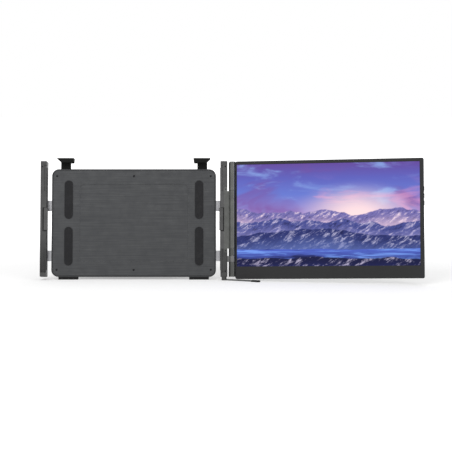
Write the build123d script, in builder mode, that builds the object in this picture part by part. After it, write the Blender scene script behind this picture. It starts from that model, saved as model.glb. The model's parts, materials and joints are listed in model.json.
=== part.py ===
from build123d import *
import os

# Laptop screen extender: a bracket that clamps round a laptop's lid, with a second
# display hinged to its right arm. Millimetres.
#
# The pieces are modelled in the bracket's own upright frame: X to the right, Z up
# along the hinge, Y to the back, with the display hinge's axis as X = 0, Y = 0.
# At the end each piece is turned on its own hinge, leaned back with the bracket, and
# set on the table, which is Z = 0.

# ---------------------------------------------------------------- driving sizes
LEAN = 9.0              # the bracket leans back from the vertical, degrees
SWING = 10.3            # the display is turned towards the user, degrees
RISE = 2.5              # the hinge's foot above the table
FIT = 0.1               # between fixed pieces
PLAY = 0.3              # between pieces that move past each other

LID_WIDTH = 296.0       # laptop lid between the arms
LID_HEIGHT = 201.5      # lid's top edge, above the display's bottom edge
LID_ROOM = 8.0          # room for the lid's thickness
LINER_THICK = 0.6       # soft strips beside the lid
LINER_INSET = 4.0       # strip's ends from the column's ends
LINER_EDGE = 0.5        # strip's sides from the lid's faces
LID_CLEAR = 0.05

ARM_BOTTOM = 4.0
ARM_TOP = 202.2
ARM_DEPTH = 21.4
LEFT_WIDTH = 10.8       # seen from the front
RIGHT_WIDTH = 11.9
ARM_REACH = 8.3         # hinge axis to the right arm's outer face
ARM_WALL = 1.8
SETBACK_WIDTH = 4.2     # column's front set back beside the lid, above and below the middle
SETBACK_DEPTH = 0.9
CAP_HEIGHT = 7.0
CAP_TENON = 5.0
CAP_ROUND = 1.2
CAP_SCREW_INSET = 3.4   # from the arm's outer face
CAP_SCREW_HEAD = 1.4
CAP_HEAD_THICK = 0.8
CAP_SCREW_BITE = 2.0    # screw in the cap's plug
ARM_IN = 5.5            # travel of each arm towards the middle
ARM_OUT = 34.5          # travel of each arm away from the middle

LIP_LOW = 83.0
LIP_HIGH = 122.0
LIP_WIDTH = 6.8
LIP_OVERLAP = 2.0       # lip over the lid's front
LIP_THICK = 2.4
LIP_CORNER = 1.0
LIP_ROUND = 0.6
LIP_CLEAR = 0.3         # above the lip in its pocket
LIP_GAP = 1.6           # open beside the lip and below it

PAD_THICK = 1.0         # silicone pads, proud of the front plate
PAD_WIDTH = 14.0
PAD_HEIGHT = 66.0
PAD_OFFSET_X = 112.0    # pads' middles from the bracket's middle
PAD_OFFSET_Z = 40.0
SOFT_ROUND = 0.4
PLATE_THICK = 1.5
PLATE_SCREW_SIDE = 9.0  # screws from the housing's sides
PLATE_SCREW_END = 12.0  # and from its top and bottom
FIELD_SIDE = 12.0       # pressed field in the front plate, from the pads
FIELD_END = 26.0        # and from the housing's top and bottom
FIELD_DEPTH = 0.5
FIELD_CORNER = 8.0
RAIL_ROOM = 3.7
FLOOR = 2.0
STAND_RECESS = 2.8
ARM_STOP_GAP = 2.15     # left between arm and housing when the arm is pushed in
HOUSING_LOW = 4.0
HOUSING_CORNER = 12.0
HOUSING_WALL = 2.0
HOUSING_LEDGE = 2.5
HOUSING_FOOT_LENGTH = 34.0
HOUSING_FOOT_DEPTH = 7.6
HOUSING_FOOT_CORNER = 1.5
EDGE_ROUND = 1.6

RAIL_THICK = 3.0
RAIL_HEIGHT = 18.0
RAIL_LENGTH = 112.0
RAIL_SEAT = 5.5         # rail end let into the column
RAIL_LOW = 40.0         # lower rails' middle
RAIL_DROP = 75.5        # upper rails' middle, below the lid's top edge
RAIL_PLAY = 0.35
RAIL_CORNER = 2.0
RAIL_SCREW_Z = 5.0      # screws above and below the rail's middle
GUIDE_LENGTH = 30.0
GUIDE_HEIGHT = 4.0
POST_RADIUS = 2.0
POST_INSET = 63.5       # guide post from the column's inner face
POST_PLAY = 0.3

HOOK_OFFSET = 117.3     # from the bracket's middle
HOOK_WIDTH = 30.0       # along its top edge
HOOK_OUT_SLANT = 8.5    # lower edge shorter than the top, at the outer end
HOOK_IN_SLANT = 1.0
HOOK_CORNER = 0.7
HOOK_ROUND = 0.5
HOOK_RISE = 5.8         # top of the hook above the lid
HOOK_LIP = 2.0          # front lip below the lid's top edge
HOOK_PAD = 1.4
HOOK_PAD_WIDTH = 18.5
HOOK_PAD_SHIFT = 1.5    # towards the bracket's middle
HOOK_PAD_EDGE = 0.2
STEM_WIDTH = 17.0
STEM_END = 4.0          # stem below its slot
HOOK_DOWN = 10.0        # travel of each hook
HOOK_UP = 18.0

STAND_DROP = 24.2       # kickstand's hinge below the housing's top
STAND_ANGLE = 15.0      # kickstand opened from its recess, degrees
STAND_TOP = 150.0       # width at the hinge
STAND_BOTTOM = 230.0    # width at the foot
STAND_THICK = 2.2
STAND_CORNER = 8.0
STAND_FOOT = 7.0        # rubber along its lower edge
STAND_PLAY = 0.5        # round the plate in its recess
STAND_RUN_OUT = 10.0    # outline drawn on below the housing
STAND_FIELD = 14.0      # pressed field in the plate, from its sides
STAND_FIELD_TOP = 18.0  # from the hinge
STAND_FIELD_LOW = 22.0  # above the housing's bottom
KNUCKLE_RADIUS = 2.5
KNUCKLE_FLOOR = 1.5     # extra floor inside the housing, behind the knuckles
KNUCKLE_LENGTH = 24.0
KNUCKLE_OFFSET = 48.0
STAND_PIN = 1.25
LUG_LENGTH = 6.0
LUG_SEAT = 3.0          # half height of the lug's foot

BARREL_RADIUS = 4.65
BARREL_LOW = 52.0
BARREL_DROP = 50.9      # barrel's upper end below the display's top
SLEEVE_LOW = 4.0
SLEEVE_DROP = 0.4       # upper sleeve's end below the display's top
LUG_LOW = 29.2
LUG_HIGH = 39.4
END_PLAY = 0.4          # between the hinge's knuckles
SHAFT_RADIUS = 2.0
SHAFT_PLAY = 0.05
SHAFT_GRIP = 33.0       # shaft inside the barrel
WASHER_RADIUS = 3.3
WASHER_THICK = 1.25
WASHER_GAP = 0.15
WASHERS = 6
LEAF_THICK = 1.6
LEAF_BEYOND = 6.5       # hinge leaf on the arm, beyond the barrel's ends
LEAF_CORNER = 1.0
LEAF_SCREW_INSET = 3.2

PANEL_WIDTH = 309.4     # visible picture, 14 inch 16:9
PANEL_HEIGHT = 174.0
BEZEL_LEFT = 2.8        # outside the picture, to the display's body edge
BEZEL_RIGHT = 6.8
BEZEL_TOP = 5.8
BEZEL_BOTTOM = 21.4
DISPLAY_START = 5.1     # body's left edge from the hinge axis
DISPLAY_FACE = 0.8      # front face behind the hinge axis
DISPLAY_THICK = 9.0
DISPLAY_CORNER = 3.0
DISPLAY_ROUND = 1.4
RIM = 0.9               # frame's rim round the bezel
BEZEL_THICK = 1.0
GLASS_THICK = 0.8
BACKLIGHT_THICK = 1.2
TRAY_THICK = 0.4
GLASS_MARGIN_X = 0.6    # glass beyond the picture, under the bezel
GLASS_MARGIN_Y = 3.0
COVER_DEPTH = 4.8       # rear cover's part of the thickness
COVER_WALL = 1.2
COVER_EDGE = 0.5        # rounding of its free edge behind the hinge
FRAME_WALL = 2.0
FRONT_CHAMFER = 0.35
PICTURE_CHAMFER = 0.4
SHELF_THICK = 1.4       # across the frame's bottom, for the cover's lower screws
SHELF_HEIGHT = 14.0
BOSS_RADIUS = 2.6
HEAD_DEPTH = 0.8
SCREW_ROW_LOW = 9.0
SCREW_ROW_DROP = 13.2   # upper row below the display's top
SCREW_COLUMNS = 4
SCREW_INSET = 18.0      # last column from the display's right edge
LEAF_LENGTH = 22.9      # hinge leaves inside the display
BODY_GAP = 0.3          # between a sleeve's web and the display's side
SHAFT_INSET = 3.0       # shaft's end from the sleeve's end

PORT_ROW = 6.1          # middle of the ports, behind the front face
USB_WIDTH = 9.0
USB_HEIGHT = 3.2
PORT_DEPTH = 7.4
PORT_WALL = 0.3
HDMI_WIDTH = 11.2
USB_LEVELS = (48.0, 64.0)
HDMI_LEVEL = 84.0
POWER_LEVEL = 150.0
MENU_LEVELS = (126.0, 138.0)
BUTTON_LENGTH = 8.0
BUTTON_THICK = 2.6
BUTTON_PROUD = 0.7
BUTTON_TRAVEL = 0.5
BUTTON_PLAY = 0.15
BUTTON_ROUND = 0.4
FLANGE_THICK = 0.8
FLANGE_GROW = 0.5
SWITCH_SIZE = 4.0
SWITCH_HEIGHT = 2.6
SWITCH_GAP = 0.2
BUTTON_BOARD_WIDTH = 18.0
BUTTON_BOARD_MARGIN = 6.0
GRILLE_INSET = 52.5     # speakers' middles from the display's side edges
GRILLE_SLOTS = 7
GRILLE_PITCH = 3.6
GRILLE_LENGTH = 8.0
GRILLE_WIDTH = 1.4
SPEAKER_LENGTH = 30.0
SPEAKER_HEIGHT = 11.0
BOARD_GAP = 0.2         # board behind the panel's tray
BOARD_WIDTH = 52.0
BOARD_LOW = 34.0
BOARD_HIGH = 104.0
BOARD_CORNER = 2.0
CHIP_THICK = 1.3
# chips on the driver board: left of the display's edge, height, width, depth
CHIPS = ((34.0, 84.0, 13.0, 13.0), (38.0, 56.0, 9.0, 11.0), (20.0, 46.0, 8.0, 5.0))
FLEX_WIDTH = 22.0
FLEX_HEIGHT = 26.0
FLEX_OFFSET = 40.0
TONGUE_THICK = 0.7
TONGUE_EDGE = 1.3

FOOT_PIN_X = -14.0
FOOT_PIN_Y = 5.0
FOOT_TIP_X = 42.5
FOOT_TIP_Y = -18.0
FOOT_WIDTH = 6.6
FOOT_HEAD = 4.3         # radius at the pin and the tip
FOOT_THICK = 1.6
FOOT_PAD = 0.4          # pads stand this much below the plate
FOOT_PIN = 1.75
FOOT_PIN_HEAD = 2.75
FOOT_PIN_LENGTH = 9.0
FOOT_BOSS = 6.0
BOOT_WALL = 0.6
BOOT_LENGTH = 11.0      # from the tip's middle, along the lever

SCREW_HEAD = 1.9
SCREW_SHANK = 1.0
SCREW_HEAD_THICK = 0.6

# --------------------------------------------------------------- worked out sizes
PAD_FACE = LIP_THICK + LID_ROOM
PLATE_FRONT = PAD_FACE + PAD_THICK
PLATE_BACK = PLATE_FRONT + PLATE_THICK
CAVITY_BACK = PLATE_BACK + RAIL_ROOM
HOUSING_BACK = CAVITY_BACK + FLOOR + STAND_RECESS
RAIL_FRONT = PLATE_BACK + (RAIL_ROOM - RAIL_THICK) / 2
RAIL_BACK = RAIL_FRONT + RAIL_THICK

RIGHT_OUT = -ARM_REACH
RIGHT_IN = RIGHT_OUT - RIGHT_WIDTH
LID_HALF = LID_WIDTH / 2 + LINER_THICK + LID_CLEAR
MIDDLE = RIGHT_IN - LID_HALF
LEFT_IN = MIDDLE - LID_HALF
HOUSING_WIDTH = 2 * (LID_HALF - ARM_IN - ARM_STOP_GAP)
HOUSING_HIGH = LID_HEIGHT - HOOK_LIP - HOOK_DOWN - PLAY
HOUSING_MID = (HOUSING_LOW + HOUSING_HIGH) / 2
HOUSING_HEIGHT = HOUSING_HIGH - HOUSING_LOW
RAIL_LEVELS = (RAIL_LOW, LID_HEIGHT - RAIL_DROP)
COLUMN_LOW = ARM_BOTTOM + CAP_HEIGHT
COLUMN_HIGH = ARM_TOP - CAP_HEIGHT
LIP_MID = (LIP_LOW + LIP_HIGH) / 2
LIP_POCKET = LIP_WIDTH - LIP_OVERLAP + LIP_GAP
POCKET_LOW = LIP_LOW - LIP_GAP
POCKET_HIGH = LIP_HIGH + LIP_CLEAR

PLUG_FRONT = LIP_THICK + ARM_WALL
CAP_SCREWS = (COLUMN_LOW + CAP_TENON / 2, COLUMN_HIGH - CAP_TENON / 2)

HOOK_TOP = LID_HEIGHT + HOOK_RISE
HOOK_UNDER = LID_HEIGHT + HOOK_PAD
STEM_LOW = (
    RAIL_LEVELS[1] + (RAIL_HEIGHT + RAIL_PLAY) / 2 + GUIDE_HEIGHT + HOOK_DOWN + PLAY
)
STEM_RIB = HOUSING_HIGH - HOUSING_WALL - STEM_LOW
STEM_SLOT_LOW = STEM_LOW + STEM_END
STEM_SLOT_HIGH = STEM_SLOT_LOW + HOOK_UP + HOOK_DOWN + 2 * (POST_RADIUS + POST_PLAY)
HOOK_POST_Z = STEM_SLOT_LOW + HOOK_UP + POST_RADIUS + POST_PLAY

STAND_Z = HOUSING_HIGH - STAND_DROP
STAND_Y = HOUSING_BACK - KNUCKLE_RADIUS
KNUCKLE_SPAN = KNUCKLE_LENGTH + 2 * LUG_LENGTH
FOOT_TOP = FOOT_PAD + FOOT_THICK

DISPLAY_WIDTH = BEZEL_LEFT + PANEL_WIDTH + BEZEL_RIGHT
DISPLAY_HEIGHT = BEZEL_BOTTOM + PANEL_HEIGHT + BEZEL_TOP
BARREL_HIGH = DISPLAY_HEIGHT - BARREL_DROP
SLEEVE_HIGH = DISPLAY_HEIGHT - SLEEVE_DROP
LEAF_LOW = BARREL_LOW - LEAF_BEYOND
LEAF_HIGH = BARREL_HIGH + LEAF_BEYOND
LEAF_IN = RIGHT_IN + LIP_POCKET
WASHER_DEPTH = WASHERS * (WASHER_THICK + WASHER_GAP)

DISPLAY_END = DISPLAY_START + DISPLAY_WIDTH
DISPLAY_MID = DISPLAY_START + DISPLAY_WIDTH / 2
DISPLAY_BACK = DISPLAY_FACE + DISPLAY_THICK
PICTURE_X = DISPLAY_START + BEZEL_LEFT + PANEL_WIDTH / 2
PICTURE_Z = BEZEL_BOTTOM + PANEL_HEIGHT / 2
GLASS_BACK = DISPLAY_FACE + BEZEL_THICK + FIT + GLASS_THICK
BACKLIGHT_BACK = GLASS_BACK + BACKLIGHT_THICK
TRAY_BACK = BACKLIGHT_BACK + TRAY_THICK
COVER_FRONT = DISPLAY_BACK - COVER_DEPTH
COVER_REACH = ARM_REACH - 2 * PLAY
COVER_INSIDE = DISPLAY_BACK - COVER_WALL
PORT_Y = DISPLAY_FACE + PORT_ROW
LEAF_END = DISPLAY_START + LEAF_LENGTH
LEAF_BACK = COVER_INSIDE - FIT
LEAF_FRONT = LEAF_BACK - LEAF_THICK
WEB_EDGE = DISPLAY_START - BODY_GAP
SCREW_ROW_HIGH = DISPLAY_HEIGHT - SCREW_ROW_DROP
BOARD_FRONT = TRAY_BACK + BOARD_GAP
BOARD_BACK = PORT_Y - USB_HEIGHT / 2
BUTTON_IN = DISPLAY_END - FRAME_WALL - FIT
SWITCH_END = BUTTON_IN - FLANGE_THICK - BUTTON_TRAVEL - SWITCH_GAP

# How each body stands: leaned back, and turned on its own hinge
LEANING = Location((0, 0, RISE), (-LEAN, 0, 0))
TABLE = Plane(LEANING.inverse() * Location((0, 0, 0)))
SWUNG = Location((0, 0, 0), (0, 0, -SWING))
OPENED = (
    Location((0, STAND_Y, STAND_Z), (STAND_ANGLE, 0, 0)) * Location((0, -STAND_Y, -STAND_Z))
)
TABLE_FOR_STAND = Plane(OPENED.inverse() * TABLE.location)

PIECES = []


def front_view(depth):
    """Plane seen from the front, at a depth behind the arms' front face.
    Positive extrusions grow towards the user."""
    return Plane.XZ.offset(-depth)


def top_view(height):
    return Plane.XY.offset(height)


def side_view(x):
    return Plane.YZ.offset(x)


def finish(piece, label, *moves):
    """Label a finished piece and keep it with the moves that bring it to its place."""
    piece.part.label = label
    PIECES.append((piece, moves))


# ------------------------------------------------------------------------ bracket
SIDES = {"left": -1, "right": 1}
RAIL_SPOTS = [(level, side) for level in RAIL_LEVELS for side in SIDES.values()]
RAIL_SCREWS = [level + way * RAIL_SCREW_Z for level in RAIL_LEVELS for way in (-1, 1)]
PLATE_SCREWS = [
    (
        MIDDLE + across * (HOUSING_WIDTH / 2 - PLATE_SCREW_SIDE),
        HOUSING_MID + up * (HOUSING_HEIGHT / 2 - PLATE_SCREW_END),
    )
    for across in (-1, 0, 1)
    for up in (-1, 1)
]
PAD_SPOTS = [
    (MIDDLE + across * PAD_OFFSET_X, HOUSING_MID + up * PAD_OFFSET_Z)
    for across in (-1, 1)
    for up in (-1, 1)
]
KNUCKLES = [MIDDLE - KNUCKLE_OFFSET, MIDDLE + KNUCKLE_OFFSET]


def post_x(side):
    """Guide posts for the rails on that side of the bracket."""
    return MIDDLE + side * (LID_HALF - POST_INSET)


def hook_x(side):
    return MIDDLE + side * HOOK_OFFSET


def housing_outline(inset):
    """Rounded outline of the housing, smaller by the inset all round."""
    with Locations((MIDDLE, HOUSING_MID)):
        RectangleRounded(
            HOUSING_WIDTH - 2 * inset, HOUSING_HEIGHT - 2 * inset, HOUSING_CORNER - inset
        )


def stand_outline(gap, top):
    """Tapered outline of the kickstand, wider by the gap; it runs out at the bottom."""
    low = HOUSING_LOW - STAND_RUN_OUT
    slope = (STAND_BOTTOM - STAND_TOP) / 2 / (STAND_Z - HOUSING_LOW)
    half_top = STAND_TOP / 2 + gap + slope * (STAND_Z - top)
    half_low = STAND_TOP / 2 + gap + slope * (STAND_Z - low)
    Polygon(
        (MIDDLE - half_top, top),
        (MIDDLE + half_top, top),
        (MIDDLE + half_low, low),
        (MIDDLE - half_low, low),
        align=None,
    )


with BuildPart() as rear_housing:
    with BuildSketch(front_view(HOUSING_BACK)):
        housing_outline(0)
    extrude(amount=HOUSING_BACK - PLATE_FRONT)
    fillet(rear_housing.faces().sort_by(Axis.Y)[-1].edges(), EDGE_ROUND)
    with BuildSketch(front_view(PLATE_FRONT)):
        housing_outline(HOUSING_WALL)
    extrude(amount=-PLATE_THICK, mode=Mode.SUBTRACT)
    with BuildSketch(front_view(PLATE_BACK)):
        housing_outline(HOUSING_WALL + HOUSING_LEDGE)
    extrude(amount=-RAIL_ROOM, mode=Mode.SUBTRACT)
    # windows in the side walls for the arms' rails
    with BuildSketch(front_view(PLATE_BACK)):
        for level, side in RAIL_SPOTS:
            with Locations((MIDDLE + side * (HOUSING_WIDTH / 2 - HOUSING_WALL), level)):
                Rectangle(4 * HOUSING_WALL + HOUSING_LEDGE, RAIL_HEIGHT + 2 * RAIL_PLAY)
    extrude(amount=-RAIL_ROOM, mode=Mode.SUBTRACT)
    # slots in the top wall for the hooks' stems
    with BuildSketch(front_view(PLATE_BACK)):
        with Locations(*[(hook_x(side), HOUSING_HIGH) for side in SIDES.values()]):
            Rectangle(STEM_WIDTH + 2 * RAIL_PLAY, 4 * HOUSING_WALL + HOUSING_LEDGE)
    extrude(amount=-RAIL_ROOM, mode=Mode.SUBTRACT)
    # ribs beside the stems
    with BuildSketch(front_view(CAVITY_BACK)):
        for side in SIDES.values():
            for edge in (-1, 1):
                rib_x = hook_x(side) + edge * (STEM_WIDTH / 2 + RAIL_PLAY + HOUSING_WALL / 2)
                with Locations((rib_x, STEM_LOW + STEM_RIB / 2)):
                    Rectangle(HOUSING_WALL, STEM_RIB)
    extrude(amount=RAIL_ROOM)
    # bosses for the front plate's screws, and guide posts for the rails and the stems
    with BuildSketch(front_view(CAVITY_BACK)):
        with Locations(*PLATE_SCREWS):
            Circle(3 * SCREW_SHANK)
        with Locations(*[(post_x(side), level) for level, side in RAIL_SPOTS]):
            Circle(POST_RADIUS)
        with Locations(*[(hook_x(side), HOOK_POST_Z) for side in SIDES.values()]):
            Circle(POST_RADIUS)
    extrude(amount=RAIL_ROOM)
    # thicker floor behind the kickstand's knuckles
    with BuildSketch(front_view(CAVITY_BACK)):
        with Locations(*[(x, STAND_Z) for x in KNUCKLES]):
            Rectangle(KNUCKLE_SPAN + 2 * FLOOR, 2 * (KNUCKLE_RADIUS + PLAY + FLOOR))
    extrude(amount=KNUCKLE_FLOOR)
    # recess for the kickstand, and deeper pockets for its knuckles and lugs
    with BuildSketch(front_view(HOUSING_BACK)):
        stand_outline(STAND_PLAY, STAND_Z + KNUCKLE_RADIUS + STAND_PLAY)
    extrude(amount=STAND_RECESS, mode=Mode.SUBTRACT)
    for x in KNUCKLES:
        with BuildSketch(side_view(x)):
            with Locations((STAND_Y, STAND_Z)):
                Circle(KNUCKLE_RADIUS + PLAY)
            with Locations((HOUSING_BACK, STAND_Z)):
                Rectangle(2 * KNUCKLE_RADIUS, 2 * (KNUCKLE_RADIUS + PLAY))
        extrude(amount=KNUCKLE_SPAN / 2, both=True, mode=Mode.SUBTRACT)
        # lugs that carry the hinge pins, two beside each knuckle
        for end in (-1, 1):
            with BuildSketch(side_view(x + end * (KNUCKLE_LENGTH + LUG_LENGTH) / 2)):
                with Locations((STAND_Y, STAND_Z)):
                    Circle(KNUCKLE_RADIUS)
                with Locations((STAND_Y - LUG_SEAT / 2, STAND_Z)):
                    Rectangle(LUG_SEAT, 2 * LUG_SEAT)
                with Locations((STAND_Y, STAND_Z)):
                    Circle(STAND_PIN, mode=Mode.SUBTRACT)
            extrude(amount=LUG_LENGTH / 2 - PLAY, both=True)
    # holes for the front plate's screws
    with BuildSketch(front_view(PLATE_BACK)):
        with Locations(*PLATE_SCREWS):
            Circle(SCREW_SHANK)
    extrude(amount=-RAIL_ROOM, mode=Mode.SUBTRACT)
finish(rear_housing, "rear_housing")

with BuildPart() as front_plate:
    with BuildSketch(front_view(PLATE_BACK)):
        housing_outline(HOUSING_WALL + FIT)
    extrude(amount=PLATE_THICK)
    fillet(front_plate.faces().sort_by(Axis.Y)[0].edges(), SOFT_ROUND)
    with BuildSketch(front_view(PLATE_FRONT)):
        with Locations((MIDDLE, HOUSING_MID)):
            RectangleRounded(
                2 * (PAD_OFFSET_X - PAD_WIDTH / 2 - FIELD_SIDE),
                HOUSING_HEIGHT - 2 * FIELD_END,
                FIELD_CORNER,
            )
    extrude(amount=-FIELD_DEPTH, mode=Mode.SUBTRACT)
    with Locations(*[Location((x, PLATE_FRONT, z), (90, 0, 0)) for x, z in PLATE_SCREWS]):
        CounterSinkHole(SCREW_SHANK + FIT, SCREW_HEAD + FIT, PLATE_THICK)
finish(front_plate, "front_plate")

with BuildPart() as lid_pads:
    with BuildSketch(front_view(PLATE_FRONT)):
        with Locations(*PAD_SPOTS):
            SlotCenterToCenter(PAD_HEIGHT - PAD_WIDTH, PAD_WIDTH, rotation=90)
    extrude(amount=PAD_THICK)
    fillet(lid_pads.faces().filter_by(Axis.Y).sort_by(Axis.Y)[: len(PAD_SPOTS)].edges(), SOFT_ROUND)
finish(lid_pads, "lid_pads")

with BuildPart() as rail_guides:
    with BuildSketch(front_view(CAVITY_BACK)):
        for level, side in RAIL_SPOTS:
            guide_x = MIDDLE + side * (
                HOUSING_WIDTH / 2 - HOUSING_WALL - HOUSING_LEDGE - GUIDE_LENGTH / 2
            )
            for edge in (-1, 1):
                guide_z = level + edge * (RAIL_HEIGHT / 2 + RAIL_PLAY / 2 + GUIDE_HEIGHT / 2)
                with Locations((guide_x, guide_z)):
                    Rectangle(GUIDE_LENGTH, GUIDE_HEIGHT)
    extrude(amount=RAIL_ROOM)
finish(rail_guides, "rail_guides")

with BuildPart() as housing_screws:
    for x, z in PLATE_SCREWS:
        with BuildSketch(top_view(z)):
            with BuildLine():
                Polyline(
                    (x, PLATE_FRONT),
                    (x + SCREW_HEAD, PLATE_FRONT),
                    (x + SCREW_SHANK, PLATE_FRONT + SCREW_HEAD - SCREW_SHANK),
                    (x + SCREW_SHANK, CAVITY_BACK - PLAY),
                    (x, CAVITY_BACK - PLAY),
                    close=True,
                )
            make_face()
        revolve(axis=Axis((x, 0, z), (0, 1, 0)))
finish(housing_screws, "housing_screws")

with BuildPart() as housing_feet:
    with BuildSketch(top_view(HOUSING_LOW)):
        for side in SIDES.values():
            foot_x = MIDDLE + side * (HOUSING_WIDTH / 2 - HOUSING_CORNER - HOUSING_FOOT_LENGTH / 2)
            with Locations((foot_x, PLATE_FRONT + HOUSING_FOOT_DEPTH / 2)):
                RectangleRounded(HOUSING_FOOT_LENGTH, HOUSING_FOOT_DEPTH, HOUSING_FOOT_CORNER)
    extrude(amount=-(HOUSING_LOW + 2 * RISE))
    split(bisect_by=TABLE, keep=Keep.TOP)
finish(housing_feet, "housing_feet")


# --------------------------------------------------------------------------- arms
def arm_column(inner, width, side):
    """Hollow extruded column. The lid's side is at inner; side points away from it."""
    outer = inner + side * width
    middle = inner + side * width / 2
    screw_x = inner + side * RAIL_SEAT / 2
    with BuildPart() as column:
        with BuildSketch(top_view(COLUMN_LOW)) as section:
            with Locations((middle, ARM_DEPTH / 2)):
                Rectangle(width, ARM_DEPTH)
            fillet(section.vertices().sort_by_distance((outer, ARM_DEPTH / 2))[:2], EDGE_ROUND)
            with Locations((middle, (LIP_THICK + ARM_DEPTH) / 2)):
                Rectangle(
                    width - 2 * ARM_WALL, ARM_DEPTH - LIP_THICK - 2 * ARM_WALL, mode=Mode.SUBTRACT
                )
        extrude(amount=COLUMN_HIGH - COLUMN_LOW)
        # front edge set back beside the lid, above and below the middle stretch
        for low, high in ((COLUMN_LOW, BARREL_LOW), (BARREL_HIGH, COLUMN_HIGH)):
            with BuildSketch(top_view(low)):
                with Locations((inner, 0)):
                    Rectangle(2 * SETBACK_WIDTH, 2 * SETBACK_DEPTH)
            extrude(amount=high - low, mode=Mode.SUBTRACT)
        # pocket for the lip
        with BuildSketch(front_view(0)):
            with Locations((inner, (POCKET_LOW + POCKET_HIGH) / 2)):
                Rectangle(2 * LIP_POCKET, POCKET_HIGH - POCKET_LOW)
        extrude(amount=-LIP_THICK, mode=Mode.SUBTRACT)
        # pockets for the rails' ends
        with BuildSketch(side_view(inner)):
            with Locations(*[(RAIL_FRONT + RAIL_THICK / 2, level) for level in RAIL_LEVELS]):
                Rectangle(RAIL_THICK, RAIL_HEIGHT)
        extrude(amount=side * RAIL_SEAT, mode=Mode.SUBTRACT)
        # holes for the screws that hold them
        with BuildSketch(front_view(RAIL_BACK)):
            with Locations(*[(screw_x, level) for level in RAIL_SCREWS]):
                Circle(SCREW_SHANK)
        extrude(amount=-(ARM_DEPTH - RAIL_BACK), mode=Mode.SUBTRACT)
        cap_screw_holes(outer - side * CAP_SCREW_INSET)
    return column


def cap_screw_holes(x):
    """Countersunk holes from the front, through the column into the caps' plugs."""
    for radius, depth in ((CAP_SCREW_HEAD, CAP_HEAD_THICK), (SCREW_SHANK, PLUG_FRONT + CAP_TENON / 2)):
        with BuildSketch(front_view(0)) as holes:
            with Locations(*[(x, level) for level in CAP_SCREWS]):
                Circle(radius)
        extrude(holes.sketch, amount=-depth, mode=Mode.SUBTRACT)


def arm_cap(inner, width, side, low, high, tenon):
    """End cap with the column's outline, rounded at its free end, and a plug into it."""
    outer = inner + side * width
    middle = inner + side * width / 2
    with BuildPart() as cap:
        with BuildSketch(top_view(low)) as section:
            with Locations((middle, ARM_DEPTH / 2)):
                Rectangle(width, ARM_DEPTH)
            fillet(section.vertices().sort_by_distance((outer, ARM_DEPTH / 2))[:2], EDGE_ROUND)
        extrude(amount=high - low)
        free_end = cap.faces().sort_by(Axis.Z)[-1 if tenon < 0 else 0]
        fillet(free_end.edges(), CAP_ROUND)
        with BuildSketch(top_view(low if tenon < 0 else high)):
            with Locations((middle, (LIP_THICK + ARM_DEPTH) / 2)):
                Rectangle(
                    width - 2 * ARM_WALL - 2 * FIT,
                    ARM_DEPTH - LIP_THICK - 2 * ARM_WALL - 2 * FIT,
                )
        extrude(amount=tenon)
        cap_screw_holes(outer - side * CAP_SCREW_INSET)
    return cap


def arm_lip(inner, side):
    """Tab that reaches over the lid's front, let into the column's face."""
    with BuildPart() as lip:
        with BuildSketch(front_view(LIP_THICK)):
            with Locations((inner + side * (LIP_WIDTH / 2 - LIP_OVERLAP), LIP_MID)):
                RectangleRounded(LIP_WIDTH, LIP_HIGH - LIP_LOW, LIP_CORNER)
        extrude(amount=LIP_THICK)
        fillet(lip.faces().sort_by(Axis.Y)[0].edges(), LIP_ROUND)
    return lip


def arm_liner(inner, side):
    """Soft strip beside the lid, behind the lip."""
    width = LID_ROOM - 2 * LINER_EDGE
    height = COLUMN_HIGH - COLUMN_LOW - 2 * LINER_INSET
    with BuildPart() as liner:
        with BuildSketch(side_view(inner)):
            with Locations(((LIP_THICK + PAD_FACE) / 2, (COLUMN_LOW + COLUMN_HIGH) / 2)):
                SlotOverall(height, width, rotation=90)
        extrude(amount=-side * LINER_THICK)
    return liner


def arm_rails(inner, side):
    """Two flat rails that slide into the housing, slotted for the guide posts."""
    rail_x = inner + side * (RAIL_SEAT - RAIL_LENGTH / 2)
    slot_x = post_x(side) + side * (ARM_IN - ARM_OUT) / 2
    slot_length = ARM_OUT + ARM_IN + 2 * (POST_RADIUS + POST_PLAY)
    with BuildPart() as rails:
        with BuildSketch(front_view(RAIL_BACK)) as section:
            with Locations(*[(rail_x, level) for level in RAIL_LEVELS]):
                Rectangle(RAIL_LENGTH, RAIL_HEIGHT)
            fillet(section.vertices().group_by(Axis.X)[0 if side > 0 else -1], RAIL_CORNER)
            with Locations(*[(slot_x, level) for level in RAIL_LEVELS]):
                SlotOverall(slot_length, 2 * (POST_RADIUS + POST_PLAY), mode=Mode.SUBTRACT)
        extrude(amount=RAIL_THICK)
    return rails


def arm_screws(inner, width, side):
    """Screws onto the rails' ends, from the back, and into the caps' plugs, from the front."""
    rail_screw_x = inner + side * RAIL_SEAT / 2
    cap_screw_x = inner + side * (width - CAP_SCREW_INSET)
    with BuildPart() as screws:
        with BuildSketch(front_view(RAIL_BACK)):
            with Locations(*[(rail_screw_x, level) for level in RAIL_SCREWS]):
                Circle(SCREW_SHANK)
        extrude(amount=-(ARM_DEPTH - RAIL_BACK))
        with BuildSketch(front_view(ARM_DEPTH)):
            with Locations(*[(rail_screw_x, level) for level in RAIL_SCREWS]):
                Circle(SCREW_HEAD)
        extrude(amount=-SCREW_HEAD_THICK)
        for radius, depth in (
            (CAP_SCREW_HEAD, CAP_HEAD_THICK), (SCREW_SHANK, PLUG_FRONT + CAP_SCREW_BITE)
        ):
            with BuildSketch(front_view(0)):
                with Locations(*[(cap_screw_x, level) for level in CAP_SCREWS]):
                    Circle(radius)
            extrude(amount=-depth)
    return screws


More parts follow.
